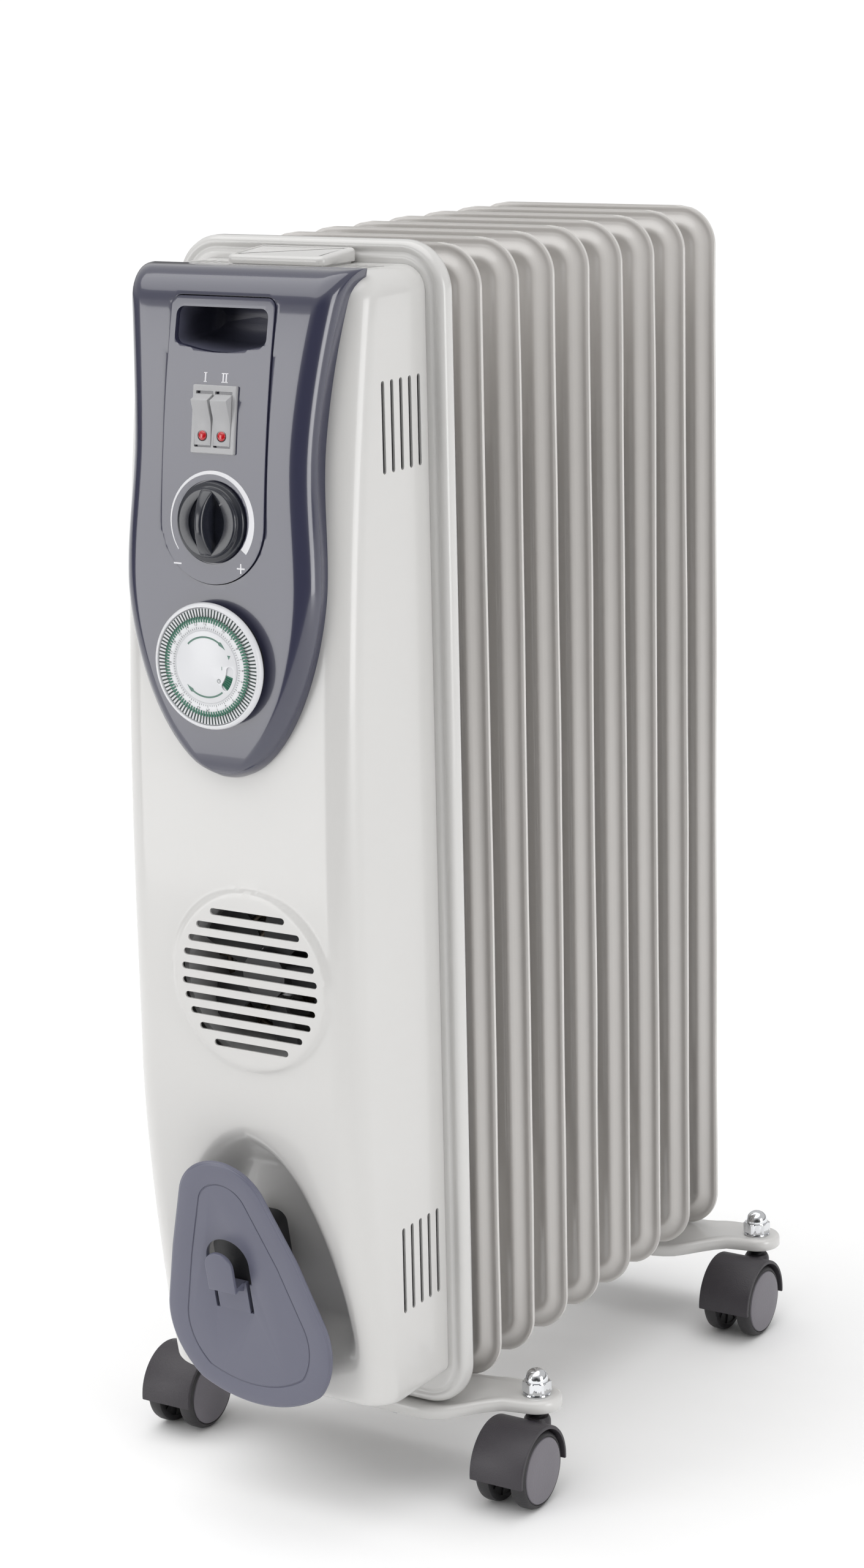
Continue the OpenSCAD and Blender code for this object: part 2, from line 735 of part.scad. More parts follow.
module caster_hood(sx, py) {
    color(dark) stack() caster_at(sx, py) difference() {
        union() {
            // curved cover over both wheels
            translate([0, -caster_trail, axle_z]) rotate([0, 90, 0]) difference() {
                cylinder(r = wheel_radius + 3.4, h = 29, center = true);
                translate([0, 0, 5.6]) cylinder(r = wheel_radius + 1, h = 12);
                translate([0, 0, -17.6]) cylinder(r = wheel_radius + 1, h = 12);
                translate([1, -40, -20]) cube([60, 80, 40]);
            }
            // web between the wheels, down past the axle
            translate([0, -caster_trail, axle_z]) rotate([0, 90, 0])
                cylinder(r = 8, h = 11.2, center = true);
            translate([0, 0, 22]) cylinder(r = 7, h = 18.6);
        }
        translate([0, 0, 20]) cylinder(r = 4.06, h = 24);
        for (s = [-1, 1]) translate([s > 0 ? 5.6 : -15, -caster_trail - 21, -2]) intersection() {
            cube([9.4, 42, 44]);
            translate([0, 21, 22]) rotate([0, 90, 0]) cylinder(r = wheel_radius + 1, h = 9.4);
        }
    }
    color(chrome) stack() caster_at(sx, py)
        translate([0, -caster_trail, axle_z]) rotate([0, 90, 0])
        cylinder(r = 2.5, h = 27, center = true);
}

module wheel(sx, py, side) {
    color([0.27, 0.26, 0.3]) stack() caster_at(sx, py)
        translate([side * 10.1, -caster_trail, axle_z]) rotate([0, 90, 0]) difference() {
            union() {
                cylinder(r = wheel_radius - 0.8, h = 8.4, center = true);
                cylinder(r = wheel_radius, h = 6.4, center = true);
            }
            cylinder(r = 2.56, h = 20, center = true);
            translate([0, 0, side > 0 ? -4.3 : 1.8]) difference() {
                cylinder(r = 16.5, h = 2.5);
                translate([0, 0, -1]) cylinder(r = 5.5, h = 5);
            }
        }
}

fin(1);  // fin_1
fin(2);  // fin_2
fin(3);  // fin_3
fin(4);  // fin_4
fin(5);  // fin_5
fin(6);  // fin_6
fin(7);  // fin_7
fin(8);  // fin_8
fin(9);  // fin_9
oil_headers();
heating_element();
oil_filler_plug();
back_plate();
control_box();
control_panel();
panel_insert();
handle_cup();
switch_bezel();
switch_body();
thermostat_body();
timer_bezel();
timer_face();
timer_body();
top_pad();
fan_shroud();
fan_motor();
fan_heater();
winder_hub();
winder_plate();
cord_gland();
terminal_block();
thermal_cutout();
foot(front_pivot);  // foot_front
foot(rear_pivot);  // foot_rear
u_bolts();
wing_nuts();
acorn_nuts();
caster_stems();
caster_hood(1, front_pivot);  // caster_hood_fr
caster_hood(-1, front_pivot);  // caster_hood_fl
caster_hood(1, rear_pivot);  // caster_hood_rr
caster_hood(-1, rear_pivot);  // caster_hood_rl
wheel(1, front_pivot, 1);  // wheel_fr_out
wheel(1, front_pivot, -1);  // wheel_fr_in
wheel(-1, front_pivot, -1);  // wheel_fl_out
wheel(-1, front_pivot, 1);  // wheel_fl_in
wheel(1, rear_pivot, 1);  // wheel_rr_out
wheel(1, rear_pivot, -1);  // wheel_rr_in
wheel(-1, rear_pivot, -1);  // wheel_rl_out
wheel(-1, rear_pivot, 1);  // wheel_rl_in
rocker(1);  // rocker_1
rocker(2);  // rocker_2
lens(1);  // lens_1
lens(2);  // lens_2
thermostat_knob();
timer_dial();
timer_tappets();
timer_slider();
fan_impeller();
plug_clip();
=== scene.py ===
"""Looks of an oil filled radiator heater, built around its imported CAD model.

Shapes are written in millimetres in the stack's frame: X to the right, Y back from the first
fin, Z up from the floor. at() turns them into the frame's metres.
"""
import math

import bmesh
import bpy
from mathutils import Matrix, Vector, noise


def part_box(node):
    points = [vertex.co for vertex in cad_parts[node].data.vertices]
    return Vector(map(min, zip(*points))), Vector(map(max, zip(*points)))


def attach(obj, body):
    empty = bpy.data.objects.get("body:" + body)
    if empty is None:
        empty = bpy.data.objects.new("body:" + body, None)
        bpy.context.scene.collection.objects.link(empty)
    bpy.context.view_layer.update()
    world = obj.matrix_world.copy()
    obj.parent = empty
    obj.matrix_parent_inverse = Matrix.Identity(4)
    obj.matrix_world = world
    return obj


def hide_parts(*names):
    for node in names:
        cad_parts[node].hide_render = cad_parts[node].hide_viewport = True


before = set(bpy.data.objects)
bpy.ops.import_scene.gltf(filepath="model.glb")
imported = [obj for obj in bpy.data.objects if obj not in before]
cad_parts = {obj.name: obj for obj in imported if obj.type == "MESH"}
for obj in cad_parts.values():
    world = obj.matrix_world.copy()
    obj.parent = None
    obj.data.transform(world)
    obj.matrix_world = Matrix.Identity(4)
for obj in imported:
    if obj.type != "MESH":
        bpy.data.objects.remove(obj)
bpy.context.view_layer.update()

MM = 0.001
FINS = 9


def middle(node):
    low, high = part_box(node)
    return (low + high) / 2


FIN_PITCH = (middle("fin_3") - middle("fin_2")).y / MM
STACK_Y = middle("fin_2").y / MM - FIN_PITCH


def at(x, y, z):
    """A point of the stack's frame, in metres in the row's frame."""
    return Vector((x, y + STACK_Y, z)) * MM


def size_of(node):
    """Width, depth and height of a CAD node, in millimetres."""
    low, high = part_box(node)
    return (high - low) / MM


# ---------------------------------------------------------------- camera
def make_camera():
    camera = link(bpy.data.objects.new("camera", bpy.data.cameras.new("camera")))
    bpy.context.scene.camera = camera
    camera.data.sensor_width = 36
    camera.data.lens = 78.1
    camera.location = at(907, -1365, 762)
    turn, drop, roll = math.radians(31.74), math.radians(13.68), math.radians(-1.27)
    forward = Vector((
        -math.sin(turn) * math.cos(drop), math.cos(turn) * math.cos(drop), -math.sin(drop)))
    level = forward.cross(Vector((0, 0, 1))).normalized()
    plumb = level.cross(forward)
    right = math.cos(roll) * level + math.sin(roll) * plumb
    up = -math.sin(roll) * level + math.cos(roll) * plumb
    camera.matrix_world = Matrix.Translation(camera.location) @ Matrix((
        (right.x, up.x, -forward.x, 0), (right.y, up.y, -forward.y, 0),
        (right.z, up.z, -forward.z, 0), (0, 0, 0, 1)))
    camera.data.clip_start = 0.01
    camera.data.clip_end = 100


# ---------------------------------------------------------------- materials
def node_with(nodes, kind, values):
    """A new shader node with these input values."""
    node = nodes.new(kind)
    for name, value in values.items():
        node.inputs[name].default_value = value
    return node


def finish_of(name, colour, rough, coat=0.0, metallic=0.0, grain=0.0, grain_scale=900,
              wander=0.0, wander_scale=14, fleck=0.0, sheen_rough=0.2):
    """A procedural finish: fine grain, a slow waviness and faint flecks over one colour."""
    material = bpy.data.materials.new(name)
    material.use_nodes = True
    nodes, links = material.node_tree.nodes, material.node_tree.links
    shader = nodes["Principled BSDF"]
    shader.inputs["Base Color"].default_value = (*colour, 1)
    shader.inputs["Roughness"].default_value = rough
    shader.inputs["Metallic"].default_value = metallic
    shader.inputs["Coat Weight"].default_value = coat
    shader.inputs["Coat Roughness"].default_value = sheen_rough
    place = nodes.new("ShaderNodeTexCoord")
    fine = node_with(nodes, "ShaderNodeTexNoise", {"Scale": grain_scale, "Detail": 4})
    slow = node_with(nodes, "ShaderNodeTexNoise", {"Scale": wander_scale, "Detail": 2})
    for texture in (fine, slow):
        links.new(place.outputs["Object"], texture.inputs["Vector"])
    if fleck:
        tint = nodes.new("ShaderNodeMix")
        tint.data_type = "RGBA"
        tint.inputs["A"].default_value = (*[c * (1 - fleck) for c in colour], 1)
        tint.inputs["B"].default_value = (*[min(1, c * (1 + fleck)) for c in colour], 1)
        links.new(slow.outputs["Fac"], tint.inputs["Factor"])
        links.new(tint.outputs["Result"], shader.inputs["Base Color"])
    worn = node_with(nodes, "ShaderNodeMapRange",
                     {"To Min": rough * 0.85, "To Max": min(1, rough * 1.15)})
    links.new(fine.outputs["Fac"], worn.inputs["Value"])
    links.new(worn.outputs["Result"], shader.inputs["Roughness"])
    skin = node_with(nodes, "ShaderNodeBump", {"Strength": grain, "Distance": 0.0004})
    links.new(fine.outputs["Fac"], skin.inputs["Height"])
    sheet = node_with(nodes, "ShaderNodeBump", {"Strength": wander, "Distance": 0.004})
    links.new(slow.outputs["Fac"], sheet.inputs["Height"])
    links.new(skin.outputs["Normal"], sheet.inputs["Normal"])
    links.new(sheet.outputs["Normal"], shader.inputs["Normal"])
    return material


def make_finishes():
    return {
        "case": finish_of("case_paint", (0.62, 0.613, 0.6), 0.3, 0.5, grain=0.05, wander=0.05,
                          fleck=0.012, sheen_rough=0.1),
        # The fins' own white paint, made a little greyer than the case paint as painted shade for
        # the narrow gaps between fins.
        "fin": finish_of("fin_paint", (0.6, 0.58, 0.56), 0.3, 0.55, grain=0.05, wander=0.12,
                         fleck=0.03, sheen_rough=0.12),
        "slate": finish_of("slate_plastic", (0.036, 0.037, 0.068), 0.22, 0.9, grain=0.012,
                           fleck=0.03, sheen_rough=0.07),
        "slate_satin": finish_of("slate_satin", (0.112, 0.115, 0.16), 0.38, 0.2, grain=0.12,
                                 fleck=0.04, grain_scale=1500, sheen_rough=0.3),
        "grey": finish_of("grey_plastic", (0.43, 0.43, 0.44), 0.4, grain=0.12, fleck=0.02),
        "housing": finish_of("fan_housing", (0.7, 0.7, 0.7), 0.45, grain=0.1, fleck=0.03),
        "blade": finish_of("fan_blade", (0.05, 0.05, 0.053), 0.35, 0.1, grain=0.1, fleck=0.08),
        "knob": finish_of("knob_plastic", (0.016, 0.018, 0.026), 0.24, 0.4, grain=0.05,
                          fleck=0.05, sheen_rough=0.12),
        "lens": finish_of("red_lens", (0.5, 0.006, 0.012), 0.14, 0.8, fleck=0.1,
                          grain=0.02, sheen_rough=0.03),
        "white": finish_of("white_plastic", (0.72, 0.725, 0.745), 0.34, 0.2, grain=0.06,
                           fleck=0.01),
        "green": finish_of("green_plastic", (0.008, 0.13, 0.075), 0.4, grain=0.1, fleck=0.08),
        "tappet": finish_of("tappet_plastic", (0.012, 0.03, 0.028), 0.42, grain=0.1, fleck=0.1),
        "print": finish_of("white_print", (0.82, 0.82, 0.85), 0.5, grain=0.05, fleck=0.01),
        "ink": finish_of("green_ink", (0.11, 0.21, 0.17), 0.5, grain=0.05, fleck=0.05),
        "caster": finish_of("caster_plastic", (0.034, 0.03, 0.036), 0.45, grain=0.5,
                            fleck=0.22, grain_scale=1300),
        "disc": finish_of("caster_disc", (0.15, 0.14, 0.16), 0.4, grain=0.25, fleck=0.06),
        "tread": finish_of("caster_tread", (0.018, 0.017, 0.019), 0.5, grain=0.4, fleck=0.1),
        "chrome": finish_of("bright_plate", (0.78, 0.79, 0.81), 0.1, metallic=1, grain=0.04,
                            fleck=0.05, wander=0.08, wander_scale=160),
        "steel": finish_of("plain_steel", (0.4, 0.4, 0.41), 0.35, metallic=1, grain=0.3,
                           fleck=0.1),
        # Painted shade: near black for the box's inner faces and its vent walls, standing in for
        # the shade inside the closed box.
        "inside": finish_of("box_inside_painted_shade", (0.006, 0.006, 0.007), 0.7, grain=0.3, fleck=0.1),
        "black": finish_of("dark_plastic", (0.012, 0.012, 0.014), 0.42, grain=0.2, fleck=0.1),
        "nickel": finish_of("heater_wire", (0.22, 0.18, 0.14), 0.4, metallic=1, grain=0.3,
                            fleck=0.15),
    }


# ---------------------------------------------------------------- mesh tools
def link(obj):
    bpy.context.scene.collection.objects.link(obj)
    return obj


def untidied(name, points, faces):
    """A linked object with the given mesh, as it comes."""
    mesh = bpy.data.meshes.new(name)
    mesh.from_pydata([tuple(p) for p in points], [], faces)
    return link(bpy.data.objects.new(name, mesh))


def piece(name, points, faces, material, body="heater", replaces=(), slot=None, smooth=50):
    """Makes one shown piece that rides on a CAD body."""
    return settle(untidied(name, points, faces), material, body, replaces, slot, smooth)


def settle(obj, material, body="heater", replaces=(), slot=None, smooth=50):
    """Gives a finished object its finish, its body and the CAD nodes it stands for."""
    tidy_mesh(obj.data)
    obj.data.materials.clear()
    obj.data.materials.append(material)
    shade(obj.data, smooth)
    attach(obj, body)
    if replaces:
        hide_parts(*([replaces] if isinstance(replaces, str) else replaces))
    return obj


def tidy_mesh(mesh):
    work = bmesh.new()
    work.from_mesh(mesh)
    bmesh.ops.remove_doubles(work, verts=work.verts, dist=2e-6)
    bmesh.ops.recalc_face_normals(work, faces=work.faces)
    work.to_mesh(mesh)
    work.free()


def shade(mesh, degrees):
    mesh.shade_smooth()
    mesh.set_sharp_from_angle(angle=math.radians(degrees))


def loft(loops, cap_start=True, cap_end=True, closed=True):
    """Points and faces of a skin drawn over rows of points that all have one length."""
    n = len(loops[0])
    points = [p for loop in loops for p in loop]
    span = n if closed else n - 1
    faces = [(r * n + i, r * n + (i + 1) % n, (r + 1) * n + (i + 1) % n, (r + 1) * n + i)
             for r in range(len(loops) - 1) for i in range(span)]
    if cap_start:
        faces.append(tuple(reversed(range(n))))
    if cap_end:
        faces.append(tuple(range((len(loops) - 1) * n, len(loops) * n)))
    return points, faces


def merged(*shapes):
    """Joins several (points, faces) into one."""
    points, faces = [], []
    for p, f in shapes:
        base = len(points)
        points += p
        faces += [tuple(i + base for i in face) for face in f]
    return points, faces


def moved(shape, change):
    return [change(p) for p in shape[0]], shape[1]


def turned(shape, angle):
    """A copy turned about local Z."""
    turn = Matrix.Rotation(angle, 3, "Z")
    return moved(shape, lambda p: turn @ p)


def polar(radius, degrees):
    """The (x, y) that lies at this radius and angle."""
    turn = math.radians(degrees)
    return radius * math.cos(turn), radius * math.sin(turn)


def ring(radius, height, segments=64):
    """Points on a circle about local Z, as (x, y, z) in millimetres."""
    return [Vector((*polar(radius, 360.0 * i / segments), height)) for i in range(segments)]


def lathe(profile, segments=64):
    """Turned form about local Z from (radius, height) pairs; ends on the axis are closed."""
    return loft([ring(max(r, 0.001), h, segments) for r, h in profile])


def facing_front(centre, lean=0.0):
    """Maps local (x right, y up, z towards the front) in millimetres to the row's frame."""
    tilt = math.radians(lean)

    def change(p):
        forward, up = p[2], p[1]
        y = -forward * math.cos(tilt) + up * math.sin(tilt)
        z = up * math.cos(tilt) + forward * math.sin(tilt)
        return at(centre[0] + p[0], centre[1] + y, centre[2] + z)
    return change


FRONT = facing_front((0, 0, 0))


def prism(outline, low, high):
    """Upright solid between two heights of local Z over an outline of (x, y)."""
    return loft([[Vector((x, y, low)) for x, y in outline],
                 [Vector((x, y, high)) for x, y in outline]])


def soft_prism(outline, low, high, edge=0.4, steps=4, both=False):
    """A prism whose upper rim, and with both its lower one, is rounded."""
    rows = []
    if both:
        for i in range(steps + 1):
            t = math.pi / 2 * i / steps
            rows.append((edge * (1 - math.sin(t)), low + edge * (1 - math.cos(t))))
    else:
        rows.append((0, low))
    for i in range(steps + 1):
        t = math.pi / 2 * i / steps
        rows.append((edge * (1 - math.cos(t)), high - edge * (1 - math.sin(t))))
    return loft([[Vector((x, y, z)) for x, y in inset(outline, d)] for d, z in rows])


def inset(outline, distance):
    """Draws a closed counter-clockwise outline in by a distance, along its corners' normals."""
    n = len(outline)
    result = []
    for i in range(n):
        before, here, after = outline[i - 1], outline[i], outline[(i + 1) % n]
        a = Vector((here[0] - before[0], here[1] - before[1])).normalized()
        b = Vector((after[0] - here[0], after[1] - here[1])).normalized()
        normal = Vector((-a.y - b.y, a.x + b.x))
        if normal.length < 1e-6:
            normal = Vector((-a.y, a.x))
        normal.normalize()
        stretch = 1 / max(0.5, normal.dot(Vector((-a.y, a.x))))
        result.append((here[0] + normal.x * distance * stretch,
                       here[1] + normal.y * distance * stretch))
    return result


def arc(cx, cy, radius, start, end, steps=10):
    spots = [polar(radius, start + (end - start) * i / steps) for i in range(steps + 1)]
    return [(cx + x, cy + y) for x, y in spots]


def rounded(width, height, radius, cx=0.0, cy=0.0, steps=8):
    """Counter-clockwise rounded rectangle."""
    w, h = width / 2 - radius, height / 2 - radius
    return (arc(cx + w, cy - h, radius, -90, 0, steps) + arc(cx + w, cy + h, radius, 0, 90, steps)
            + arc(cx - w, cy + h, radius, 90, 180, steps)
            + arc(cx - w, cy - h, radius, 180, 270, steps))


def ease(value, low, high):
    """Smooth 0 to 1 step between two limits."""
    t = min(1, max(0, (value - low) / (high - low)))
    return t * t * (3 - 2 * t)


def cut(obj, shapes, mode="DIFFERENCE", wall=0):
    """Boolean with one or more (points, faces) solids; wall is the cut faces' material slot."""
    points, faces = merged(*shapes)
    tool = draft("cutter", (points, faces))
    for material in obj.data.materials:
        tool.data.materials.append(material)
    for polygon in tool.data.polygons:
        polygon.material_index = wall
    change = obj.modifiers.new("cut", "BOOLEAN")
    change.object = tool
    change.operation = mode
    change.solver = "MANIFOLD"
    bake(obj)
    bpy.data.objects.remove(tool)


def bake(obj):
    """Applies every modifier."""
    bpy.context.view_layer.update()
    seen = obj.evaluated_get(bpy.context.evaluated_depsgraph_get())
    mesh = bpy.data.meshes.new_from_object(seen)
    obj.modifiers.clear()
    obj.data = mesh


def draft(name, shape):
    """An object that isn't finished yet: no material, no body."""
    obj = untidied(name, *shape)
    tidy_mesh(obj.data)
    return obj


def thicken(obj, thickness, inside_slot=0):
    shell = obj.modifiers.new("shell", "SOLIDIFY")
    shell.thickness = thickness * MM
    shell.offset = -1
    shell.material_offset = inside_slot
    shell.material_offset_rim = inside_slot
    bake(obj)


def soften(obj, width, segments=2, angle=35):
    edge = obj.modifiers.new("edge", "BEVEL")
    edge.width = width * MM
    edge.segments = segments
    edge.limit_method = "ANGLE"
    edge.angle_limit = math.radians(angle)
    edge.harden_normals = False
    bake(obj)


# ---------------------------------------------------------------- sheet metal
HEADER_INSET = 62


def make_fins(finish):
    """Nine pressed fins: welded rim, hollow border, rounded ridge, oil channels and headers."""
    width, _, height = size_of("fin_5")
    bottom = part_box("fin_5")[0].z / MM
    corner = 21
    mid = bottom + height / 2
    rows = spread(height / 2, (1.1, 1.4, 1.7, 2.2, 3.5, 9), (24, 30, 36, 50, 100))
    columns = spread(width / 2, (0.9, 1.2, 1.7, 2.5, 3.2, 4), (6, 16, 24, 40, 60))
    for number in range(1, FINS + 1):
        plane = (number - 1) * FIN_PITCH + (3.5 if number == 1 else 0)
        loops = []
        for z in rows:
            reach = width / 2 - corner + math.sqrt(
                max(0, corner ** 2 - max(0, abs(z) - height / 2 + corner) ** 2))
            skin = []
            for side in (-1, 1):
                order = columns if side < 0 else list(reversed(columns))
                for u in order:
                    x = u / (width / 2) * reach
                    x += math.copysign(ease(abs(x), 40, 70), x) * waver(number, z, x > 0)
                    depth = fin_profile(abs(x), z, width, height, corner, reach)
                    skin.append(at(x, plane + side * depth, mid + z))
            loops.append(skin)
        cones = []
        for z in (bottom + HEADER_INSET, bottom + height - HEADER_INSET):
            for side in (-1, 1):
                if number == 1 and side < 0:
                    continue
                cones.append(moved(header_cone(), lambda p, z=z, side=side, plane=plane:
                                   at(p[0], plane + side * p[2], z + p[1])))
        piece(f"fin_{number}_pressed", *merged(loft(loops), *cones), finish,
              replaces=f"fin_{number}", slot="fin_paint", smooth=55)


def spread(half, steps, limits):
    """Positions from -half to half, fine near both ends; limits are distances from an end."""
    half_row, here = [half], half
    while here > 0:
        away = half - here
        step = next((s for s, limit in zip(steps, limits) if away < limit), steps[-1])
        here -= step
        if here > steps[-1] * 0.4:
            half_row.append(here)
    return [-h for h in half_row] + [0.0] + list(reversed(half_row))


def waver(number, z, right):
    """Small unevenness of a pressed edge."""
    place = Vector((number * 7.3, z * 0.011, 3.7 if right else 9.1))
    return 0.7 * noise.noise(place)


def fin_profile(x, z, width, height, corner, reach):
    """Half thickness of a fin at a place, from its distance to the rounded outline."""
    dx = abs(x) - (width / 2 - corner)
    dz = abs(z) - (height / 2 - corner)
    if dx > 0 and dz > 0:
        away = corner - math.hypot(dx, dz)
    else:
        away = min(width / 2 - abs(x), height / 2 - abs(z))
    if reach - abs(x) < 1e-6:
        return 0.85
    rim = 0.85 + 0.4 * ease(away, 0, 0.8) - 0.65 * ease(away, 1.4, 3.4)
    ridge = 3.5 * math.exp(-((away - 9.6) / 3.4) ** 2)
    flat = 1.1 * ease(away, 8, 14)
    pocket_end = abs(z) - 178
    round_top = math.hypot(max(0, abs(x) - 44), max(0, pocket_end)) - 13
    pocket = 1 - ease(round_top if pocket_end > 0 or abs(x) > 44 else -13, -2.5, 2.5)
    channel = 5.4 * sum(math.exp(-((x - c) / 6.5) ** 2) for c in (-30, 0, 30))
    channel *= 1 - ease(abs(z), 235, 262)
    return rim + ridge + flat - 1.2 * pocket + channel * ease(away, 20, 34)


def header_cone():
    """Pressed flare where a fin's skin turns out into the oil header."""
    flare = [(23.1 + 10 * (1 - i / 10) ** 2.4, 0.6 + 13 * i / 10) for i in range(11)]
    return lathe([(22.4, 0.6)] + flare + [(22.4, 13.6)], 64)


def make_back_plate(finish):
    """Flange behind the control box: flat with a raised round edge that turns back."""
    width, _, height = size_of("back_plate")
    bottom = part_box("back_plate")[0].z / MM
    outline = rounded(width, height, 24, 0, bottom + height / 2, 14)
    section = [(9.0, -1.9), (8.0, -2.0), (7.2, -1.7), (6.4, -1.1), (5.6, -0.9), (4.9, -1.2),
               (4.1, -1.75), (3.2, -2.0), (2.3, -1.85), (1.3, -1.2), (0.5, -0.1), (0.05, 1.3),
               (0, 3), (0, 5), (0.5, 5.6), (1.4, 5.4), (1.6, 4.5), (1.6, 1.5), (3, 0.2),
               (8, -0.2), (9, -0.2)]
    loops = [[at(x, y, z) for x, z in inset(outline, d)] for d, y in section]
    piece("back_plate_pressed", *loft(loops), finish, replaces="back_plate", slot="case_paint",
          smooth=40)


# ---------------------------------------------------------------- control box
BOX_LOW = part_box("control_box")[0].z / MM
BOX_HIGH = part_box("control_box")[1].z / MM
GRILLE = (middle("fan_shroud").x / MM, 0, middle("fan_shroud").z / MM)
GRILLE_RADIUS = 45
BOX_HALF = 66
BOX_FRONT = 80.8


def box_front(z):
    """How far the box's front stands before the back plate's plane."""
    if z < 230:
        return BOX_FRONT - 22 * ((230 - z) / 170) ** 1.6
    if z > 290:
        return BOX_FRONT - 24.3 * ((z - 290) / 320) ** 2.36
    return BOX_FRONT


def drawn_in(distance, radius):
    """How much a rounded edge of that radius draws in, this far from the end."""
    if distance >= radius:
        return 0.0
    return radius - math.sqrt(max(0, radius ** 2 - (radius - distance) ** 2))


def recess_depth(x, z):
    """Hollow behind the winder plate: an arch that is soft at its top and deep below."""
    floor, top = 97, 212
    if z > top:
        return 0.0
    t = max(0, (z - floor) / (top - floor))
    half = 55 * (1 - t ** 1.9) ** 0.6
    side = ease(half - abs(x), 0, 22)
    ledge = ease(z, floor - 12, floor + 8)
    return (27 - 9 * t) * side * ledge * ease(top - z, 0, 30)


def grille_rise(x, z):
    away = math.hypot(x - GRILLE[0], z - GRILLE[2])
    return 1.9 * (1 - ease(away, GRILLE_RADIUS - 1.2, GRILLE_RADIUS + 1.2))


def bowed_row(front, wide, edge, sides, turn, parts, across):
    """Section at one height: left side, round corner, flat front, round corner, right side."""
    flat = wide - edge
    row = [(-wide, y) for y in sides]
    row += [(-flat - edge * math.cos(a), -front + edge - edge * math.sin(a)) for a in turn]
    row += [(flat * i / parts, -front) for i in across]
    row += [(flat + edge * math.sin(a), -front + edge - edge * math.cos(a)) for a in turn]
    return row + [(wide, y) for y in reversed(sides)]


def make_box(finishes):
    """Painted steel shell with grille, vents, handle opening and the hollow for the cord."""
    heights = ([BOX_LOW + t for t in (0, 0.25, 0.8, 1.7, 3, 4.5)]
               + [BOX_LOW + 6 + i * 2.2 for i in range(66)]
               + [214 + i * 3.4 for i in range(7)]
               + [238 + i * 1.5 for i in range(64)]
               + [337 + i * 9 for i in range(30)]
               + [BOX_HIGH - t for t in (12, 9, 6.5, 4.5, 3, 1.8, 0.9, 0.3, 0)])
    loops = []
    for z in heights:
        draw = max(drawn_in(BOX_HIGH - z, 12), drawn_in(z - BOX_LOW, 6))
        front, wide = box_front(z) - draw, BOX_HALF - draw
        edge = 14.5
        turn = [math.pi / 2 * i / 14 for i in range(1, 14)]
        sides = [-2 - (front - edge - 2) * i / 9 for i in range(10)]
        row = bowed_row(front, wide, edge, sides, turn, 38, range(-38, 39))
        loops.append([at(x, y + (recess_depth(x, z) - grille_rise(x, z)) * (y < -30), z)
                      for x, y in row])
    box = draft("control_box_shell", loft(loops, closed=False))
    box.data.materials.append(finishes["case"])
    # Slot 1 is painted shade: the shell's inner faces go near black for the shade inside the box.
    box.data.materials.append(finishes["inside"])
    thicken(box, 1.0, 1)
    cut(box, grille_cutters())
    # The vent walls take slot 1, the painted shade, so the slots read dark.
    cut(box, vent_cutters(), wall=1)
    shade(box.data, 40)
    box.data.materials.clear()
    box.data.materials.append(finishes["case"])
    box.data.materials.append(finishes["inside"])
    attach(box, "heater")
    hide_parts("control_box")


def capsule(length, width, steps=6):
    """Outline of a slot with round ends, along local X."""
    half = length / 2 - width / 2
    return (arc(half, 0, width / 2, -90, 90, steps) + arc(-half, 0, width / 2, 90, 270, steps))


def grille_cutters():
    """Ten level slots of the fan outlet, and the room the handle cup takes in the box."""
    cutters = [moved(prism(rounded(62, 30, 4, 0, 597), 45, 100), FRONT)]
    for i in range(10):
        rise = (4.5 - i) * 7.31
        length = 2 * math.sqrt(39.3 ** 2 - rise ** 2)
        cutters.append(moved(prism(capsule(length, 3.4), 50, 100), lambda p, rise=rise: at(
            GRILLE[0] + p[0], -p[2], GRILLE[2] + rise + p[1])))
    return cutters


def vent_cutters():
    """Upright slots in both sides and slanted ones in the top, beside the pad."""
    cutters = []
    for side in (-1, 1):
        for low, high in ((112, 156.5), (528.5, 572)):
            for i in range(5):
                y = -41 + i * 7.85
                cutters.append(moved(
                    prism(capsule(high - low, 2.7), 55, 75),
                    lambda p, y=y, z=(low + high) / 2, side=side:
                        at(side * p[2], y + p[1], z + p[0])))
        for i in range(5):
            turn = math.radians(70)
            cutters.append(moved(
                prism(capsule(11.5, 1.9), -8, 8),
                lambda p, x=side * (31.5 + 4.6 * i), turn=turn: at(
                    x + p[0] * math.cos(turn) - p[1] * math.sin(turn),
                    -20 + p[0] * math.sin(turn) + p[1] * math.cos(turn), BOX_HIGH + p[2])))
    return cutters


def make_top_pad(finish):
    low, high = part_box("top_pad")
    centre = (low + high) / 2
    width, depth = (high.x - low.x) / MM, (high.y - low.y) / MM
    outline = rounded(width, depth, 4)
    rows = [(1.8, 0), (1.8, 0.7), (0.3, 0.9), (0, 1.4), (0, 3.3), (0.35, 4.1), (1.2, 4.7),
            (2.4, 4.95), (3.2, 4.9), (3.35, 4.2), (3.9, 4.2), (4.05, 4.7), (5, 4.75)]
    loops = [[Vector((centre.x + x * MM, centre.y + y * MM,
                      low.z + (h + 0.08 * (depth / 2 + y) * (h > 2)) * MM))
              for x, y in inset(outline, d)] for d, h in rows]
    piece("top_pad_cover", *loft(loops), finish, replaces="top_pad", slot="case_paint", smooth=35)


# ---------------------------------------------------------------- slate panel
PANEL_LOW, PANEL_HIGH = 385.5, 623.6


def panel_front(z):
    return 89.3 - 18 * (abs(z - 440) / 170) ** 2.2


def panel_half(z):
    if z < 480:
        return 53.9 * math.sqrt(max(0, 1 - ((480 - z) / 95) ** 1.75))
    if z < 540:
        return 52.3 + 1.6 * math.cos(math.pi * (z - 480) / 60)
    return 50.7 + 9.5 * ((z - 540) / 85) ** 1.6


def on_panel(drop=0.0):
    """Lays local (x, y up, z out) on the panel's curved front, drop below its surface."""
    def change(p):
        return at(p[0], -panel_front(p[1]) + drop - p[2], p[1])
    return change


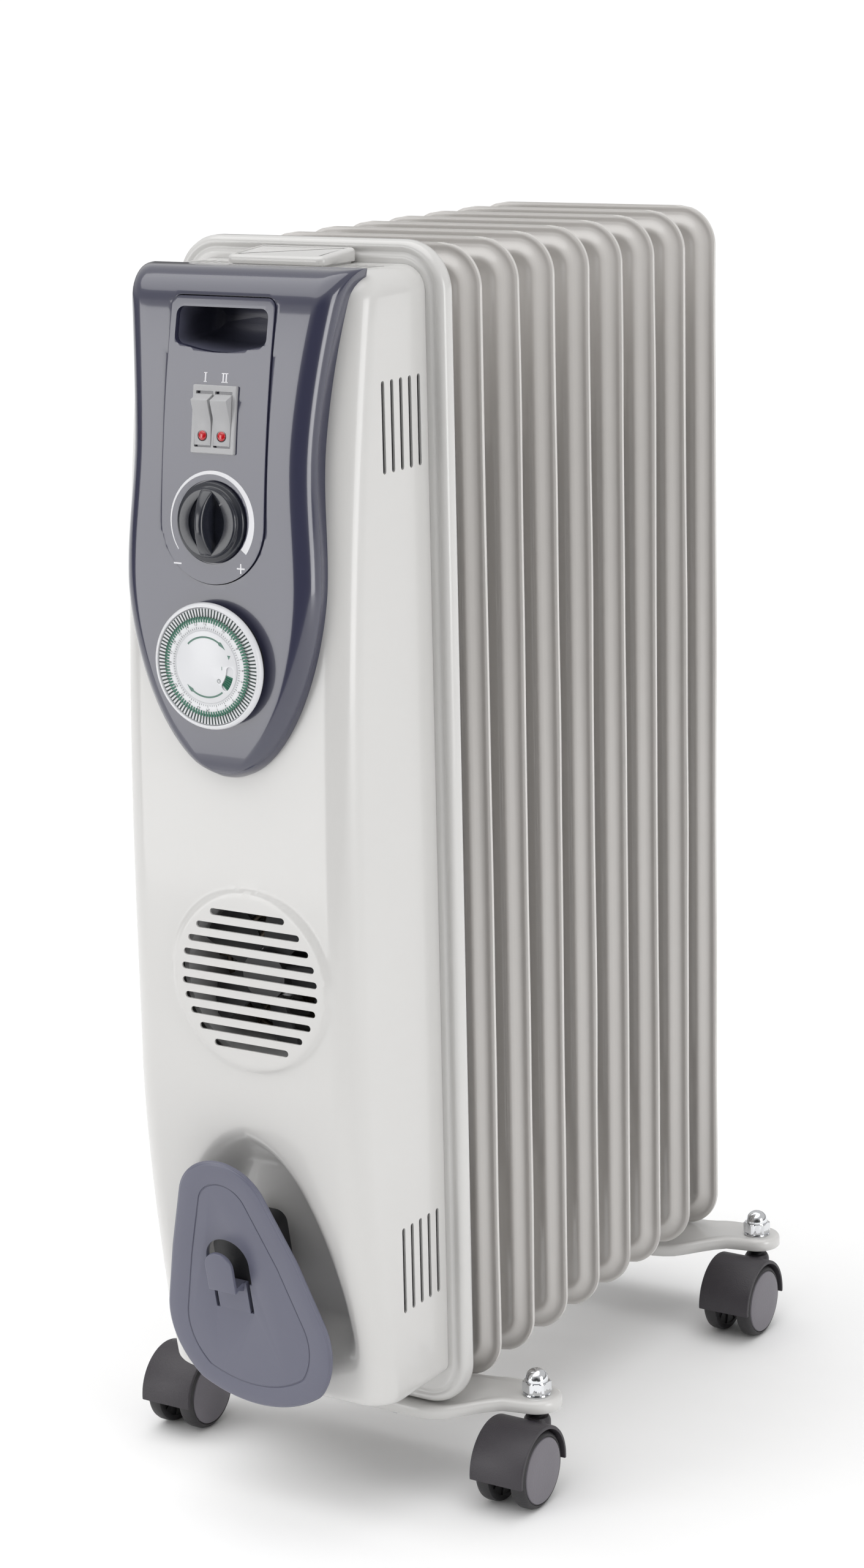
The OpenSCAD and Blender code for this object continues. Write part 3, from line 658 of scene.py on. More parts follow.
def make_panel(finishes):
    heights = ([PANEL_LOW + t for t in (0, 0.15, 0.5, 1.1, 2, 3.2, 5, 7, 9.5, 12.5)]
               + [400 + i * 4 for i in range(52)]
               + [PANEL_HIGH - t for t in (15, 12.5, 10, 7.8, 5.8, 4, 2.5, 1.3, 0.5, 0.1, 0)])
    loops = []
    for z in heights:
        wide = max(1.4, panel_half(z))
        draw = drawn_in(PANEL_HIGH - z, 15) + drawn_in(z - PANEL_LOW, 9) * 0.9
        front = panel_front(z) - draw
        edge = min(10, wide * 0.9)
        turn = [math.pi / 2 * i / 12 for i in range(13)]
        sides = [-42 - (front - edge - 42) * i / 4 for i in range(4)]
        row = bowed_row(front, wide, edge, sides, turn, 12, range(-11, 12))
        loops.append([at(x, y, z) for x, y in row])
    panel = draft("control_panel_shell", loft(loops))
    cut(panel, [moved(prism(stadium(0.35), 40, 92), FRONT)])
    soften(panel, 0.45, 2, 50)
    settle(panel, finishes["slate"], replaces="control_panel", slot="slate_plastic", smooth=40)


KNOB_Z = middle("thermostat_knob").z / MM


def stadium(grow=0.0):
    """Outline of the insert: half circle below, small round corners at the top."""
    low = 508.7
    return (arc(0, low, 29 + grow, 180, 360, 32) + arc(24, 606.5, 5 + grow, 0, 90, 8)
            + arc(-24, 606.5, 5 + grow, 90, 180, 8))


def finger_hole(grow=0.0):
    """Straight top with round corners, lower edge that swells downward."""
    low = [(x, 589.3 - 3.0 * math.cos(math.pi / 2 * x / 21.7)) for x in range(-20, 21, 4)]
    points = [(x, z - grow) for x, z in low]
    points += arc(21.7, 593.3, 4 + grow, -80, 0, 5) + arc(21.7, 602.7, 4 + grow, 0, 90, 6)
    points += arc(-21.7, 602.7, 4 + grow, 90, 180, 6) + arc(-21.7, 593.3, 4 + grow, 180, 260, 5)
    return points


def make_insert(finishes):
    """Insert that stands proud of the panel, with finger opening and the knob's well."""
    columns = [i * 2.0 for i in range(-16, 17)]
    rows = [476 + i * 2.0 for i in range(70)]
    front = [[on_panel(-0.8)(Vector((x, z, 0))) for x in columns] for z in rows]
    back = [[on_panel(3.4)(Vector((x, z, 0))) for x in reversed(columns)] for z in rows]
    plate = draft("panel_insert_plate", loft([a + b for a, b in zip(front, back)]))
    cut(plate, [moved(prism(stadium(-0.1), 40, 110), FRONT)], "INTERSECT")
    cut(plate, [moved(prism(finger_hole(), 40, 110), FRONT)])
    cut(plate, [moved(lathe([(0, 0.3), (19.6, 0.3), (19.6, 8), (0, 8)], 96), KNOB)])
    soften(plate, 0.4, 3, 50)
    settle(plate, finishes["slate"], replaces="panel_insert", slot="slate_plastic", smooth=40)
    inner, outer = [], []
    for depth, draw in ((2.2, 0), (4, 0.05), (10, 0.2), (20, 0.6), (26, 1.3), (28.5, 2.4),
                        (30, 4.5), (30.4, 7)):
        inner.append([on_panel(depth)(Vector((x, z, 0)))
                      for x, z in inset(finger_hole(), draw)])
        outer.append([on_panel(depth * 1.05)(Vector((x, z, 0)))
                      for x, z in inset(finger_hole(), draw - 1.2)])
    piece("handle_cup_moulding", *loft(inner[::-1] + outer), finishes["slate_satin"],
          replaces="handle_cup", slot="slate_plastic", smooth=60)


# ---------------------------------------------------------------- controls
SWITCH = facing_front((0, -81.46, 555.8), 8)
KNOB = facing_front((0, -86.3, 508.7), 4.6)
TIMER = facing_front((0, -92.9, 441.8))
ROCKER_X = 5.35
SEGMENTS = 96


def raised(name, shape, frame_of, finish, body="heater", replaces=(), slot=None, smooth=40):
    return piece(name, *moved(shape, frame_of), finish, body, replaces, slot, smooth)


def make_switches(finishes):
    bezel = draft("switch_bezel_frame", moved(
        soft_prism(rounded(24.4, 31.6, 0.8), 0, 2.4, 0.5), SWITCH))
    wells = [moved(prism(rounded(9.7, 25.9, 0.3, s * ROCKER_X, 0.05), -4, 6), SWITCH)
             for s in (-1, 1)]
    cut(bezel, wells)
    settle(bezel, finishes["grey"], replaces="switch_bezel", slot="grey_plastic", smooth=35)
    raised("switch_well", prism(rounded(22, 28, 0.5), -12, -1.5), SWITCH, finishes["black"],
           replaces="switch_body", slot="dark_plastic")
    for number, side in ((1, -1), (2, 1)):
        section = [(2.5, 11.7), (3.8, 10.8), (5.6, 9.7), (7.2, 8.8), (6.9, 7.9), (5.5, 4.3),
                   (4.1, 1.0), (3.4, -1.2), (3.0, -4), (2.8, -8), (2.7, -12), (-3, -12),
                   (-6, -7), (-6, 6), (-2, 11.7)]
        left, right = side * ROCKER_X - 4.6, side * ROCKER_X + 4.6
        rocker = draft(f"rocker_{number}_cap", loft([
            [SWITCH(Vector((x, up, out))) for out, up in section] for x in (left, right)]))
        soften(rocker, 0.22, 2, 30)
        settle(rocker, finishes["grey"], f"rocker_{number}_body", f"rocker_{number}",
               "grey_plastic", smooth=32)
        dome = lathe([(2.25, 0), (2.25, 0.1), (2.1, 0.35), (1.75, 0.62), (1.1, 0.86),
                      (0.5, 0.96), (0, 0.99)], 32)
        seat = lathe([(2.7, -0.1), (2.7, 0.14), (2.5, 0.2), (2.3, 0.12), (2.3, -0.1)], 32)
        spot = Vector((side * ROCKER_X, -7.5, 2.75))
        raised(f"lens_{number}_dome", moved(dome, lambda p: p + spot), SWITCH, finishes["lens"],
               f"rocker_{number}_body", f"lens_{number}", "red_lens", 60)
        raised(f"lens_{number}_seat", moved(seat, lambda p: p + spot), SWITCH,
               finishes["black"], f"rocker_{number}_body")


def make_knob(finishes):
    """Shallow skirted knob: an arched grip bar stands between two almond hollows."""
    radius, face, height = 18.8, 6.3, 13.5
    reach = radius - 2.3
    drum = draft("thermostat_knob_cap", moved(lathe([
        (0, 0.7), (radius - 0.2, 0.7), (radius, 1.0), (radius, 2.6), (radius - 0.3, 3.2),
        (radius - 1.0, 3.5), (radius - 1.7, 3.6), (reach, 4.0), (reach - 0.1, 5.3),
        (reach - 0.5, 6.0), (reach - 1.2, face), (reach - 2.2, face - 0.15), (0, face)], 96),
        KNOB))
    hollows = []
    for side in (-1, 1):
        rows = []
        for level, draw in ((face + 2, 0), (face - 0.4, 0), (face - 1.1, 0.3),
                            (face - 2.2, 1.1), (face - 3.0, 2.2), (face - 3.3, 3.4)):
            tip = 14.4 - draw * 1.4
            rims = []
            for i in range(33):
                y = -tip + 2 * tip * i / 32
                rims.append((side * (1.4 + (8.6 - draw) * (1 - (y / tip) ** 2) ** 0.9), y))
            for i in range(31, 0, -1):
                rims.append((side * 1.4, -tip + 2 * tip * i / 32))
            rows.append([Vector((x, y, level)) for x, y in rims])
        hollows.append(moved(loft(rows), KNOB))
    cut(drum, hollows)
    soften(drum, 0.35, 2, 38)
    settle(drum, finishes["knob"], "knob_body", "thermostat_knob", "knob_plastic", 35)
    bow = height - face + 0.3
    arch = (15.4 ** 2 + bow ** 2) / (2 * bow)
    bar = []
    for i in range(41):
        y = -15.2 + 30.4 * i / 40
        crest = height - arch + math.sqrt(arch ** 2 - y ** 2)
        wide = 1.9 + 1.5 * (abs(y) / 15.2) ** 2
        foot = wide + 0.9
        bar.append([Vector((x, y, h)) for x, h in (
            (-foot, 2.6), (foot, 2.6), (wide + 0.25, crest - 1.4), (wide, crest - 0.7),
            (wide - 0.35, crest - 0.22), (wide - 0.9, crest), (0.9 - wide, crest),
            (0.35 - wide, crest - 0.22), (-wide, crest - 0.7), (-wide - 0.25, crest - 1.4))])
    raised("thermostat_knob_grip", loft(bar), KNOB, finishes["knob"], "knob_body", smooth=45)


def make_marks(finishes):
    """Printed marks on the insert: tapering arc, minus, plus and the switch numerals."""
    outer, steps = 23.7, 60
    first, last = 216, -36
    inner_row, outer_row = [], []
    for i in range(steps + 1):
        t = i / steps
        thick = 0.5 + 3.1 * t ** 1.4
        for row, radius in ((outer_row, outer), (inner_row, outer - thick)):
            x, y = polar(radius, first + (last - first) * t)
            row.append((x, KNOB_Z + y))
    arc_outline = outer_row + list(reversed(inner_row))
    count = steps + 1
    points = [on_panel(-0.84)(Vector((x, z, 0))) for x, z in arc_outline]
    faces = [(i, i + 1, 2 * count - 2 - i, 2 * count - 1 - i) for i in range(steps)]
    piece("temperature_arc", points, faces, finishes["print"], slot="white_plastic")
    bars = {"mark_minus": [(-19.6, 488.4, 4.4, 0.7)],
            "mark_plus": [(16.2, 488.2, 4.4, 0.7), (16.2, 488.2, 0.7, 4.6)],
            "mark_one": [(-6.6, 575.0, 0.7, 4.3), (-6.6, 577.0, 1.8, 0.4),
                         (-6.6, 573.0, 1.8, 0.4)],
            "mark_two": [(3.4, 575.0, 0.7, 4.3), (5.1, 575.0, 0.7, 4.3), (4.25, 577.0, 3.7, 0.4),
                         (4.25, 573.0, 3.7, 0.4)]}
    for name, boxes in bars.items():
        shapes = [moved(prism(rounded(w, h, 0.12, x, z, 2), 0, 0.06), on_panel(-0.8))
                  for x, z, w, h in boxes]
        piece(name, *merged(*shapes), finishes["print"], slot="white_plastic")


def make_timer(finishes):
    radius = 30.2
    rim = radius - 2.3
    raised("timer_bezel_ring", lathe([
        (17, -1), (rim + 0.5, -1), (rim + 1.6, -0.4), (radius, 0.8), (radius, 1.6),
        (radius - 0.3, 2.6), (radius - 0.8, 3.3), (radius - 1.4, 3.6), (rim + 0.4, 3.5),
        (rim + 0.25, 3.1), (rim + 0.15, 1.2), (17, 1.2)], 128), TIMER, finishes["white"],
        replaces=("timer_bezel", "timer_body"), slot="white_plastic")
    # Painted shadow: a black skirt under the raised bezel stands for the shadow in the gap
    # between bezel and panel.
    raised("timer_bezel_shadow_skirt", lathe([(17, -6), (rim, -6), (rim, -0.5), (17, -0.5)], 96),
           TIMER, finishes["black"])
    raised("timer_dial_ring", lathe([
        (17.7, 1.3), (rim, 1.3), (rim, 2.5), (rim - 0.3, 2.8), (rim - 4.6, 2.8),
        (rim - 5.2, 3.4), (rim - 5.5, 3.6), (18.1, 3.6), (17.7, 3.3)], 128), TIMER,
        finishes["white"], "dial_body", "timer_dial", "white_plastic")
    teeth, notches = [], []
    for i in range(SEGMENTS):
        angle = math.radians(360 / SEGMENTS * i)
        tooth = soft_prism(rounded(4.0, 0.74, 0.2, rim - 2.25, 0, 2), 2.4, 2.96, 0.08, 1)
        teeth.append(turned(tooth, angle))
        bar = prism([(rim - 6.6, -0.36), (rim - 4.1, -0.5), (rim - 4.1, 0.5), (rim - 6.6, 0.36)],
                    3.2, 3.75)
        notches.append(turned(bar, angle + 0.02))
    raised("timer_segments", merged(*teeth), TIMER, finishes["tappet"], "dial_body",
           "timer_tappets", "green_plastic", 30)
    raised("timer_segment_feet", merged(*notches), TIMER, finishes["green"], "dial_body")
    ticks = []
    for i in range(SEGMENTS):
        long = 1.3 if i % 4 == 0 else 0.75
        tick = prism([(18.1, -0.09), (18.1 + long, -0.09), (18.1 + long, 0.09), (18.1, 0.09)],
                     3.58, 3.64)
        ticks.append(turned(tick, math.radians(360 / SEGMENTS * i)))
    raised("timer_scale", merged(*ticks), TIMER, finishes["tappet"], "dial_body")
    for hour in range(1, 25):
        number_on_dial(hour, finishes["tappet"])
    make_timer_face(finishes)


def number_on_dial(hour, finish):
    """A small numeral that stands upright towards the dial's rim; 12 is at the top."""
    text = bpy.data.curves.new(f"hour_{hour}", "FONT")
    text.body = str(hour)
    text.size = 2.5
    text.align_x = "CENTER"
    text.align_y = "CENTER"
    text.resolution_u = 2
    holder = link(bpy.data.objects.new(f"hour_{hour}", text))
    bpy.context.view_layer.update()
    mesh = bpy.data.meshes.new_from_object(
        holder.evaluated_get(bpy.context.evaluated_depsgraph_get()))
    bpy.data.objects.remove(holder)
    angle = math.radians(15 * (hour - 12))
    turn = Matrix.Rotation(angle, 3, "Z")
    points = [TIMER(turn @ Vector((v.co.x * 0.8, v.co.y + 20.7, 3.63))) for v in mesh.vertices]
    faces = [tuple(p.vertices) for p in mesh.polygons]
    piece(f"dial_numeral_{hour}", points, faces, finish, "dial_body")


def make_timer_face(finishes):
    face = draft("timer_face_disc", moved(lathe([
        (0, -2), (17.3, -2), (17.3, 3.2), (17.1, 3.7), (16.7, 3.9), (0, 3.9)], 96), TIMER))
    middle_r, half = 13.4, 2.15
    slot_line = ([(middle_r + half, a) for a in range(-38, -3, 3)]
                 + [(middle_r - half, a) for a in range(-5, -39, -3)])
    outline = [polar(r, a) for r, a in slot_line]
    ends = [arc(*polar(middle_r, a), half, 0, 345, 23) for a in (-38, -4)]
    cut(face, [moved(prism(outline, 1.4, 8), TIMER)])
    for end in ends:
        cut(face, [moved(prism(end, 1.4, 8), TIMER)])
    soften(face, 0.25, 2, 50)
    settle(face, finishes["white"], replaces="timer_face", slot="white_plastic", smooth=35)
    raised("timer_slot_floor", lathe([(0, 1.3), (17, 1.3), (17, 1.45), (0, 1.45)], 48), TIMER,
           finishes["black"])
    slide = []
    for i in range(13):
        top = 3.3 + (0.5 if i % 2 else 0)
        slide.append([Vector((*polar(r, -43 + 2.3 * i), h))
                      for r, h in ((middle_r - 1.9, 1.6), (middle_r + 1.9, 1.6),
                                   (middle_r + 1.9, top), (middle_r - 1.9, top))])
    raised("timer_slide_grip", loft(slide), TIMER, finishes["green"], "slider_body",
           "timer_slider", "green_plastic", 20)
    marks = [arrow_arc(14.3, 134, 39), arrow_arc(14.3, -52, -141)]
    marks.append(prism([(12.2, 6.6), (14.0, 6.6), (13.1, 4.6)][::-1], 3.9, 3.96))
    marks.append(prism(rounded(0.3, 1.7, 0.1, 8.9, 0.2, 2), 3.9, 3.96))
    raised("timer_direction_arrows", merged(*marks), TIMER, finishes["ink"])
    clock = loft([ring(1.0, 3.9, 24), ring(1.0, 3.96, 24), ring(0.8, 3.96, 24),
                  ring(0.8, 3.9, 24)], False, False)
    clock = moved(clock, lambda p: p + Vector((7.0, -6.0, 0)))
    hands = prism([(6.92, -6.05), (7.55, -6.05), (7.55, -5.9), (7.08, -5.9), (7.08, -5.3),
                   (6.92, -5.3)], 3.9, 3.96)
    raised("timer_clock_mark", merged(clock, hands), TIMER, finishes["tappet"])


def arrow_arc(radius, start, end):
    """Thin printed arc about the timer's centre that ends in a slim point."""
    steps, wide = 24, 0.42
    rows = []
    for i in range(steps + 1):
        a = math.radians(start + (end - start) * i / steps)
        w = wide
        if i > steps - 5:
            w = 0.95 * (steps - i) / 4 + 0.02
        rows.append([Vector(((radius + s * w) * math.cos(a), (radius + s * w) * math.sin(a), h))
                     for s, h in ((-1, 3.88), (1, 3.88), (1, 3.95), (-1, 3.95))])
    return loft(rows)


# ---------------------------------------------------------------- cord winder
def winder_frame(p):
    """Local (x, y up, z out): the winder plate's own plane, which leans forward at its top."""
    tilt = math.radians(11.3)
    y = -p[2] * math.cos(tilt) - p[1] * math.sin(tilt)
    z = p[1] * math.cos(tilt) - p[2] * math.sin(tilt)
    return at(p[0], -87.5 + y, 130 + z)


def plate_outline(steps=160):
    """Egg outline found by walking out from inside until three blended circles are left."""
    circles = [(-2, 43.5, 26.5), (0, 7, 38.8), (1, -26, 47.8)]

    def inside(x, y):
        if y < -6 and math.hypot(x, y + 6) > 62.8:
            return False
        for (x0, y0, r0), (x1, y1, r1) in zip(circles, circles[1:]):
            for i in range(25):
                t = i / 24
                if math.hypot(x - (x0 + (x1 - x0) * t),
                              y - (y0 + (y1 - y0) * t)) <= r0 + (r1 - r0) * t:
                    return True
        return False
    points = []
    for i in range(steps):
        a = 2 * math.pi * i / steps
        low, high = 0.0, 90.0
        while high - low > 0.01:
            mid = (low + high) / 2
            if inside(mid * math.cos(a), mid * math.sin(a)):
                low = mid
            else:
                high = mid
        points.append((low * math.cos(a), low * math.sin(a)))
    return points


def make_winder(finishes):
    outline = plate_outline()
    rows = [(1.2, -1.5), (0.3, -1.2), (0, -0.6), (0, 0.2), (0.1, 0.55), (0.45, 0.75),
            (0.75, 0.85), (0.85, 1.05), (1.0, 1.3), (1.5, 1.5), (6, 1.5), (11.4, 1.5),
            (11.7, 1.45), (12.0, 1.0), (12.35, 1.0), (12.6, 1.32), (13.2, 1.4)]
    plate = draft("winder_plate_cover", moved(
        loft([[Vector((x, y, h)) for x, y in inset(outline, d)] for d, h in rows]),
        winder_frame))
    centre = -4.5
    opening = (arc(centre, 14, 12.4, 0, 180, 24) + [(centre - 12.4, 3), (centre + 12.4, 3)])
    tools = [moved(prism(opening, -8, 8), winder_frame)]
    tools.append(moved(prism(rounded(22.2, 17.4, 0.4, centre, -5, 3), -8, 8), winder_frame))
    for tool in tools:
        cut(plate, [tool])
    soften(plate, 0.3, 2, 60)
    settle(plate, finishes["slate_satin"], replaces="winder_plate", slot="slate_plastic",
           smooth=40)
    tab = (arc(centre, 15, 7.9, 0, 180, 24) + [(centre - 7.9, 1.4), (centre + 7.9, 1.4)])
    head = soft_prism(tab, 7.2, 9.4, 0.45, 3, True)
    neck = loft([[Vector((centre + x, y, z)) for x, y in
                  ((-7.6, y0), (7.6, y0), (7.6, y1), (-7.6, y1))]
                 for y0, y1, z in ((1.5, 3.6, -0.6), (1.5, 3.6, 7.4))])
    tongue = prism(rounded(18.2, 17.0, 0.4, centre, -5.2, 3), -1.2, 1.45)
    ramp = loft([[Vector((centre + x, y, z)) for y, z in
                  ((1.2, 1.0), (-1.6, 1.0), (1.2, 5.5))] for x in (-7.0, 7.0)])
    post = prism(rounded(23, 42, 6, -2, 5), -33, -1.4)
    # Painted shade: the slate hub post takes the near-black finish for the deep shade behind the
    # winder plate.
    raised("winder_hub_post", post, winder_frame, finishes["black"], "heater", "winder_hub",
           "slate_plastic")
    clip = draft("plug_clip_tab", moved(merged(head, neck, tongue, ramp), winder_frame))
    settle(clip, finishes["slate_satin"], "clip_body", "plug_clip", "slate_plastic", 40)


# ---------------------------------------------------------------- running gear
CASTER_X = 101.5
CASTER_Y = {"f": 25.5, "r": 278}
TRAIL = 20
WHEEL_X = 10.3
WHEEL_R = 20


def caster_places():
    """Tag, side and Y of the stem of each caster."""
    for tag, side in (("fr", 1), ("fl", -1), ("rr", 1), ("rl", -1)):
        yield tag, side, CASTER_Y[tag[0]]


def foot_outline(y0):
    """Plan of a foot: round tips at the casters and a wide middle under the fins."""
    front = [(52, -33.5), (64, -30), (78, -22), (90, -15.5)]
    back = [(88, 13.5), (75, 17), (62, 18.2), (52, 18.4)]
    right = front + arc(CASTER_X, 0, 13, -82, 78, 18) + back
    left = [(-x, y) for x, y in reversed(right)]
    return [(x, y + y0) for x, y in right + left]


def foot_height(x):
    return 46.3 + 5.2 * ease(abs(x), 56, 93)


def make_feet(finish):
    for name, y0 in (("foot_front", CASTER_Y["f"]), ("foot_rear", CASTER_Y["r"])):
        outline = subdivide(foot_outline(y0), 6)
        rows = [(1.2, -6.05), (0.3, -6.35), (0, -5.9), (0, -2.6), (0.2, -1.4), (0.8, -0.5),
                (1.9, -0.05), (3.2, 0), (5.0, -0.25), (7.5, -0.35)]
        top = [[at(x, y, foot_height(x) + h) for x, y in inset(outline, d)] for d, h in rows]
        inner = [[at(x, y, foot_height(x) - 1.6) for x, y in inset(outline, 3.5)],
                 [at(x, y, foot_height(x) - 5.6) for x, y in inset(outline, 1.4)]]
        piece(f"{name}_pressed", *loft(inner + top), finish, replaces=name, slot="case_paint",
              smooth=50)


def subdivide(outline, longest):
    result = []
    for i, (x, y) in enumerate(outline):
        nx, ny = outline[(i + 1) % len(outline)]
        parts = max(1, round(math.hypot(nx - x, ny - y) / longest))
        result += [(x + (nx - x) * k / parts, y + (ny - y) * k / parts) for k in range(parts)]
    return result


def upright(x, y, z):
    """Local Z is up at this place."""
    return lambda p: at(x + p[0], y + p[1], z + p[2])


def hexagon_nut(across, height, chamfer=0.9):
    """Hexagon with its corners turned off at top and bottom."""
    rows = []
    corner = across / math.sqrt(3)
    for z, limit in ((0, corner - chamfer), (chamfer * 0.5, corner), (height - chamfer * 0.5,
                     corner), (height, corner - chamfer)):
        loop = []
        for i in range(48):
            a = 2 * math.pi * i / 48
            fold = (a + math.pi / 6) % (math.pi / 3) - math.pi / 6
            flat = across / 2 / math.cos(fold)
            r = min(flat, limit)
            loop.append(Vector((r * math.cos(a), r * math.sin(a), z)))
        rows.append(loop)
    return loft(rows)


def make_fasteners(finishes):
    nuts, stems = [], []
    for _, side, y in caster_places():
        x, top = side * CASTER_X, 51.3
        washer = lathe([(0, 0), (7.1, 0), (7.3, 0.5), (7.1, 1.1), (0, 1.1)], 48)
        nut = moved(hexagon_nut(13, 6.2), lambda p: p + Vector((0, 0, 1.0)))
        dome = lathe([(5.9, 6.9), (5.95, 7.6), (5.9, 8.6), (5.5, 10.2), (4.7, 11.6), (3.4, 12.7),
                      (1.8, 13.4), (0, 13.6)], 48)
        nuts += [moved(s, upright(x, y, top)) for s in (washer, nut, dome)]
        stems.append(moved(lathe([(0, 24), (4, 24), (4, 44), (0, 44)], 40), upright(x, y, 0)))
        stems.append(moved(lathe([(0, 40.8), (4.9, 40.8), (5.2, 41.2), (5.2, 47), (0, 47)], 40),
                           upright(x, y, 0)))
    piece("acorn_nuts_bright", *merged(*nuts), finishes["chrome"], replaces="acorn_nuts",
          slot="plated_steel", smooth=30)
    piece("caster_stems_turned", *merged(*stems), finishes["black"], replaces="caster_stems",
          slot="dark_plastic", smooth=40)


def about_axle(x, y):
    """Local Z points along +X from the wheel's middle; local Y is up."""
    return lambda p: at(x + p[2], y + p[0], WHEEL_R + p[1])


def make_casters(finishes):
    for tag, side, stem_y in caster_places():
        x, y = side * CASTER_X, stem_y - TRAIL
        make_hood(tag, x, y, stem_y, finishes)
        for which, turn in (("out", side), ("in", -side)):
            make_wheel(f"wheel_{tag}_{which}", x + turn * WHEEL_X, y, turn, finishes)


def make_hood(tag, x, y, stem_y, finishes):
    """Curved cover over both wheels, with a boss for the stem and a web to the axle."""
    outer, inner, half = 23.2, 21.2, 15.2
    rows = []
    sweep = [184 - 188 * i / 40 for i in range(41)]
    section = [(outer, -half + 0.8), (outer + 0.02, 0), (outer, half - 0.8),
               (outer - 0.3, half - 0.2), (outer - 0.9, half), (inner + 0.2, half),
               (inner, half - 0.6), (inner, -half + 0.6), (inner + 0.2, -half),
               (outer - 0.9, -half), (outer - 0.3, -half + 0.2)]
    for a in sweep:
        rows.append([Vector((*polar(r, a), w)) for r, w in section])
    cover = moved(loft(rows), about_axle(x, y))
    web = moved(soft_prism(arc(0, 0, 17.5, 20, 160, 20) + arc(0, 0, 7.5, 200, 340, 12),
                           -2.6, 2.6, 0.4, 2, True), about_axle(x, y))
    disc = moved(soft_prism(arc(0, 0, 19.5, 4, 176, 24), -5.2, 5.2, 0.5, 2, True),
                 about_axle(x, y))
    boss = moved(lathe([(0, 22), (7, 22), (7, 36.6), (6.7, 38), (5.9, 39.4), (4.3, 39.6),
                        (0, 39.6)], 40), upright(x, stem_y, 0))
    piece(f"caster_hood_{tag}_cover", *merged(cover, web, disc, boss), finishes["caster"],
          f"caster_{tag}", f"caster_hood_{tag}", "caster_plastic", 45)


def make_wheel(node, x, y, turn, finishes):
    """Solid wheel: tread, rounded shoulder and a thin raised disc on its outer face."""
    tread = lathe([(2.6, -4.2), (5, -4.2), (5.2, -3.4), (16.4, -3.4), (16.8, -4.2),
                   (WHEEL_R - 1.6, -4.2), (WHEEL_R - 0.5, -3.7), (WHEEL_R, -2.6),
                   (WHEEL_R, 1.6), (WHEEL_R - 0.5, 3.0), (WHEEL_R - 1.5, 3.9),
                   (WHEEL_R - 2.3, 4.15), (WHEEL_R - 2.6, 3.8), (2.6, 3.8)], 72)
    cap = lathe([(0, 3.6), (WHEEL_R - 2.9, 3.6), (WHEEL_R - 2.9, 4.1), (WHEEL_R - 3.2, 4.5),
                 (WHEEL_R - 3.9, 4.65), (10, 4.75), (0, 4.8)], 72)

    def place(p):
        return about_axle(x, y)((p[0], p[1], p[2] * turn))

    body = node + "_body"
    piece(node + "_tread", *moved(tread, place), finishes["tread"], body, node,
          "caster_plastic", 40)
    piece(node + "_disc", *moved(cap, place), finishes["disc"], body, (),
          "caster_plastic", 40)
    spokes = []
    for i in range(10):
        rib = prism([(5, -0.5), (16.5, -0.5), (16.5, 0.5), (5, 0.5)], -4.1, -3.0)
        spokes.append(turned(rib, math.radians(36 * i)))
    piece(node + "_ribs", *moved(merged(*spokes), place), finishes["tread"], body)


# ---------------------------------------------------------------- what the CAD already shows
def dress_cad(finishes):
    """Gives each CAD node that is still shown its finish."""
    finish_for = {
        "oil_headers": "fin", "heating_element": "chrome", "oil_filler_plug": "chrome",
        "thermostat_body": "black", "fan_shroud": "housing", "fan_motor": "steel",
        "fan_heater": "nickel", "fan_impeller": "blade", "cord_gland": "black",
        "terminal_block": "white", "thermal_cutout": "steel", "u_bolts": "chrome",
        "wing_nuts": "chrome"}
    for name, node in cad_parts.items():
        if name in finish_for:
            node.data.materials.clear()
            node.data.materials.append(finishes[finish_for[name]])


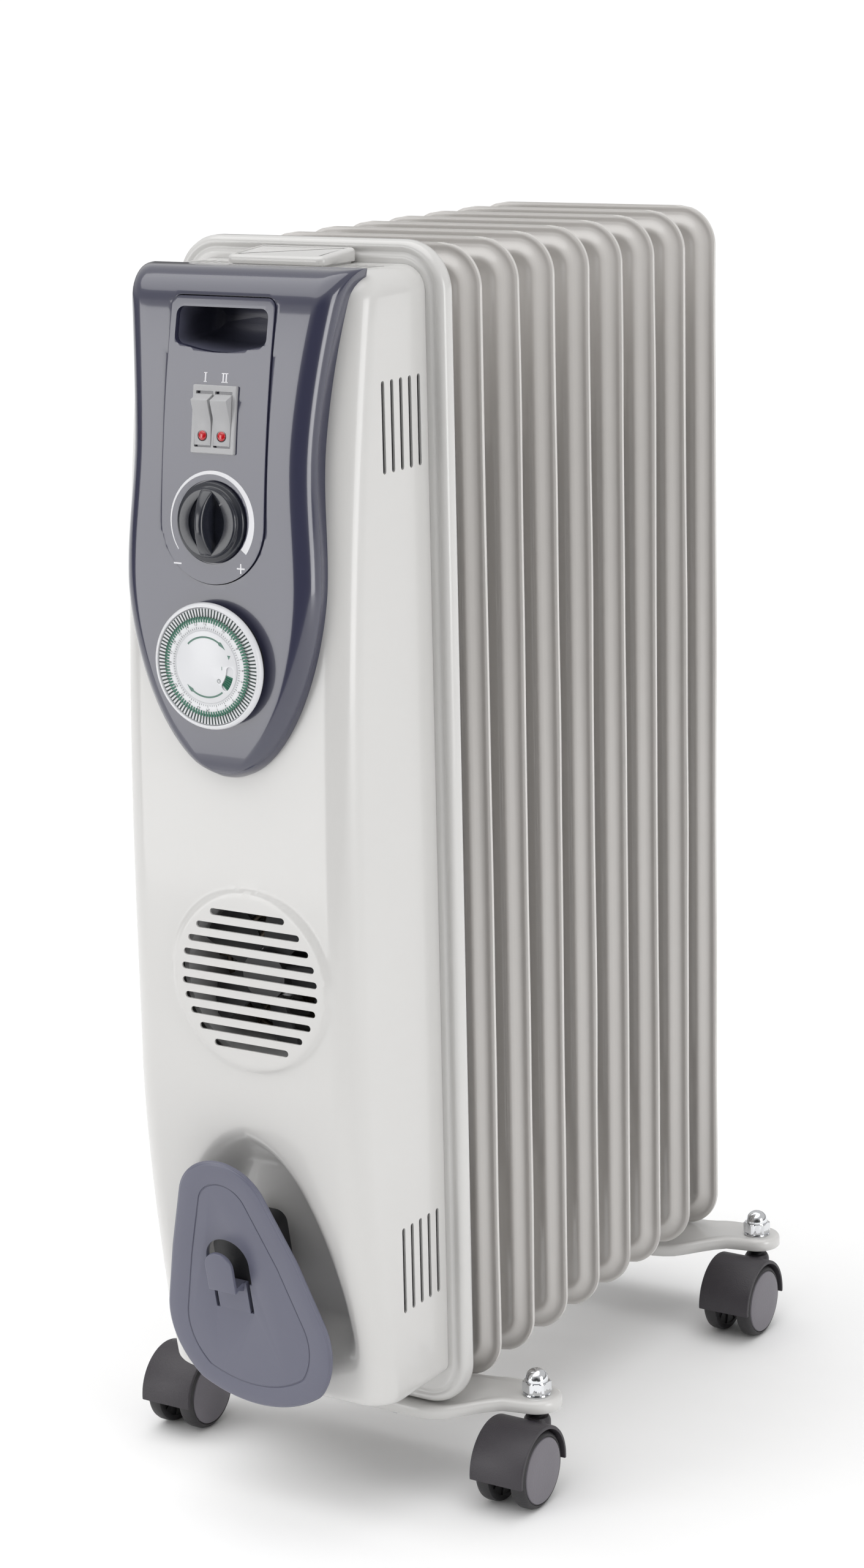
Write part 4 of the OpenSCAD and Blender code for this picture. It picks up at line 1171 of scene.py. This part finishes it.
# ---------------------------------------------------------------- studio
def make_studio():
    """White floor that ends short of the camera and a studio that darkens at one end.

    The dark end is what edges the glossy panel's reflections. The camera itself sees plain white.
    """
    side, near, far = 600, -1.2, 900
    floor = untidied("floor", [(-side, near, 0), (side, near, 0), (side, far, 0),
                               (-side, far, 0)], [(0, 1, 2, 3)])
    floor.data.materials.append(finish_of("floor_paper", (0.93, 0.93, 0.93), 0.9))
    world = bpy.data.worlds.new("studio")
    bpy.context.scene.world = world
    world.use_nodes = True
    nodes, links = world.node_tree.nodes, world.node_tree.links
    where = nodes.new("ShaderNodeTexCoord")
    turned = nodes.new("ShaderNodeMapping")
    turned.inputs["Rotation"].default_value = (0, 0, math.radians(62))
    links.new(where.outputs["Generated"], turned.inputs["Vector"])
    split = nodes.new("ShaderNodeSeparateXYZ")
    links.new(turned.outputs["Vector"], split.inputs["Vector"])
    dark_end = node_with(nodes, "ShaderNodeMapRange", {
        "From Min": 0.72, "From Max": 0.95, "To Min": 0.62, "To Max": 0.06})
    links.new(split.outputs["X"], dark_end.inputs["Value"])
    height = node_with(nodes, "ShaderNodeMapRange", {
        "From Min": -0.02, "From Max": 0.3, "To Min": 0.06})
    links.new(dark_end.outputs["Result"], height.inputs["To Max"])
    links.new(split.outputs["Z"], height.inputs["Value"])
    path = nodes.new("ShaderNodeLightPath")
    seen = node_with(nodes, "ShaderNodeMapRange", {"To Max": 1.0})
    links.new(path.outputs["Is Camera Ray"], seen.inputs["Value"])
    links.new(height.outputs["Result"], seen.inputs["To Min"])
    sky = nodes["Background"]
    sky.inputs["Color"].default_value = (1, 1, 1, 1)
    links.new(seen.outputs["Result"], sky.inputs["Strength"])
    softbox("key", (-1.35, -2.15, 0.45), 1.2, 20)
    softbox("right", (2.3, -0.35, 0.65), 0.9, 15)
    overhead = link(bpy.data.objects.new("overhead", bpy.data.lights.new("overhead", "SUN")))
    overhead.data.energy = 1.85
    overhead.data.angle = math.radians(75)
    overhead.rotation_euler = (math.radians(12), math.radians(-8), 0)
    bpy.context.scene.view_settings.view_transform = "Standard"


def softbox(name, place, size, power):
    light = bpy.data.lights.new(name, "AREA")
    light.shape = "RECTANGLE"
    light.size, light.size_y = size, size * 1.4
    light.energy = power
    obj = link(bpy.data.objects.new(name, light))
    obj.location = place
    aim = Vector((0, 0, 0.33)) - obj.location
    obj.rotation_euler = aim.to_track_quat("-Z", "Y").to_euler()


make_camera()
FINISH = make_finishes()
make_fins(FINISH["fin"])
make_back_plate(FINISH["case"])
make_box(FINISH)
make_top_pad(FINISH["case"])
make_panel(FINISH)
make_insert(FINISH)
make_switches(FINISH)
make_knob(FINISH)
make_marks(FINISH)
make_timer(FINISH)
make_winder(FINISH)
make_feet(FINISH["case"])
make_fasteners(FINISH)
make_casters(FINISH)
dress_cad(FINISH)
make_studio()
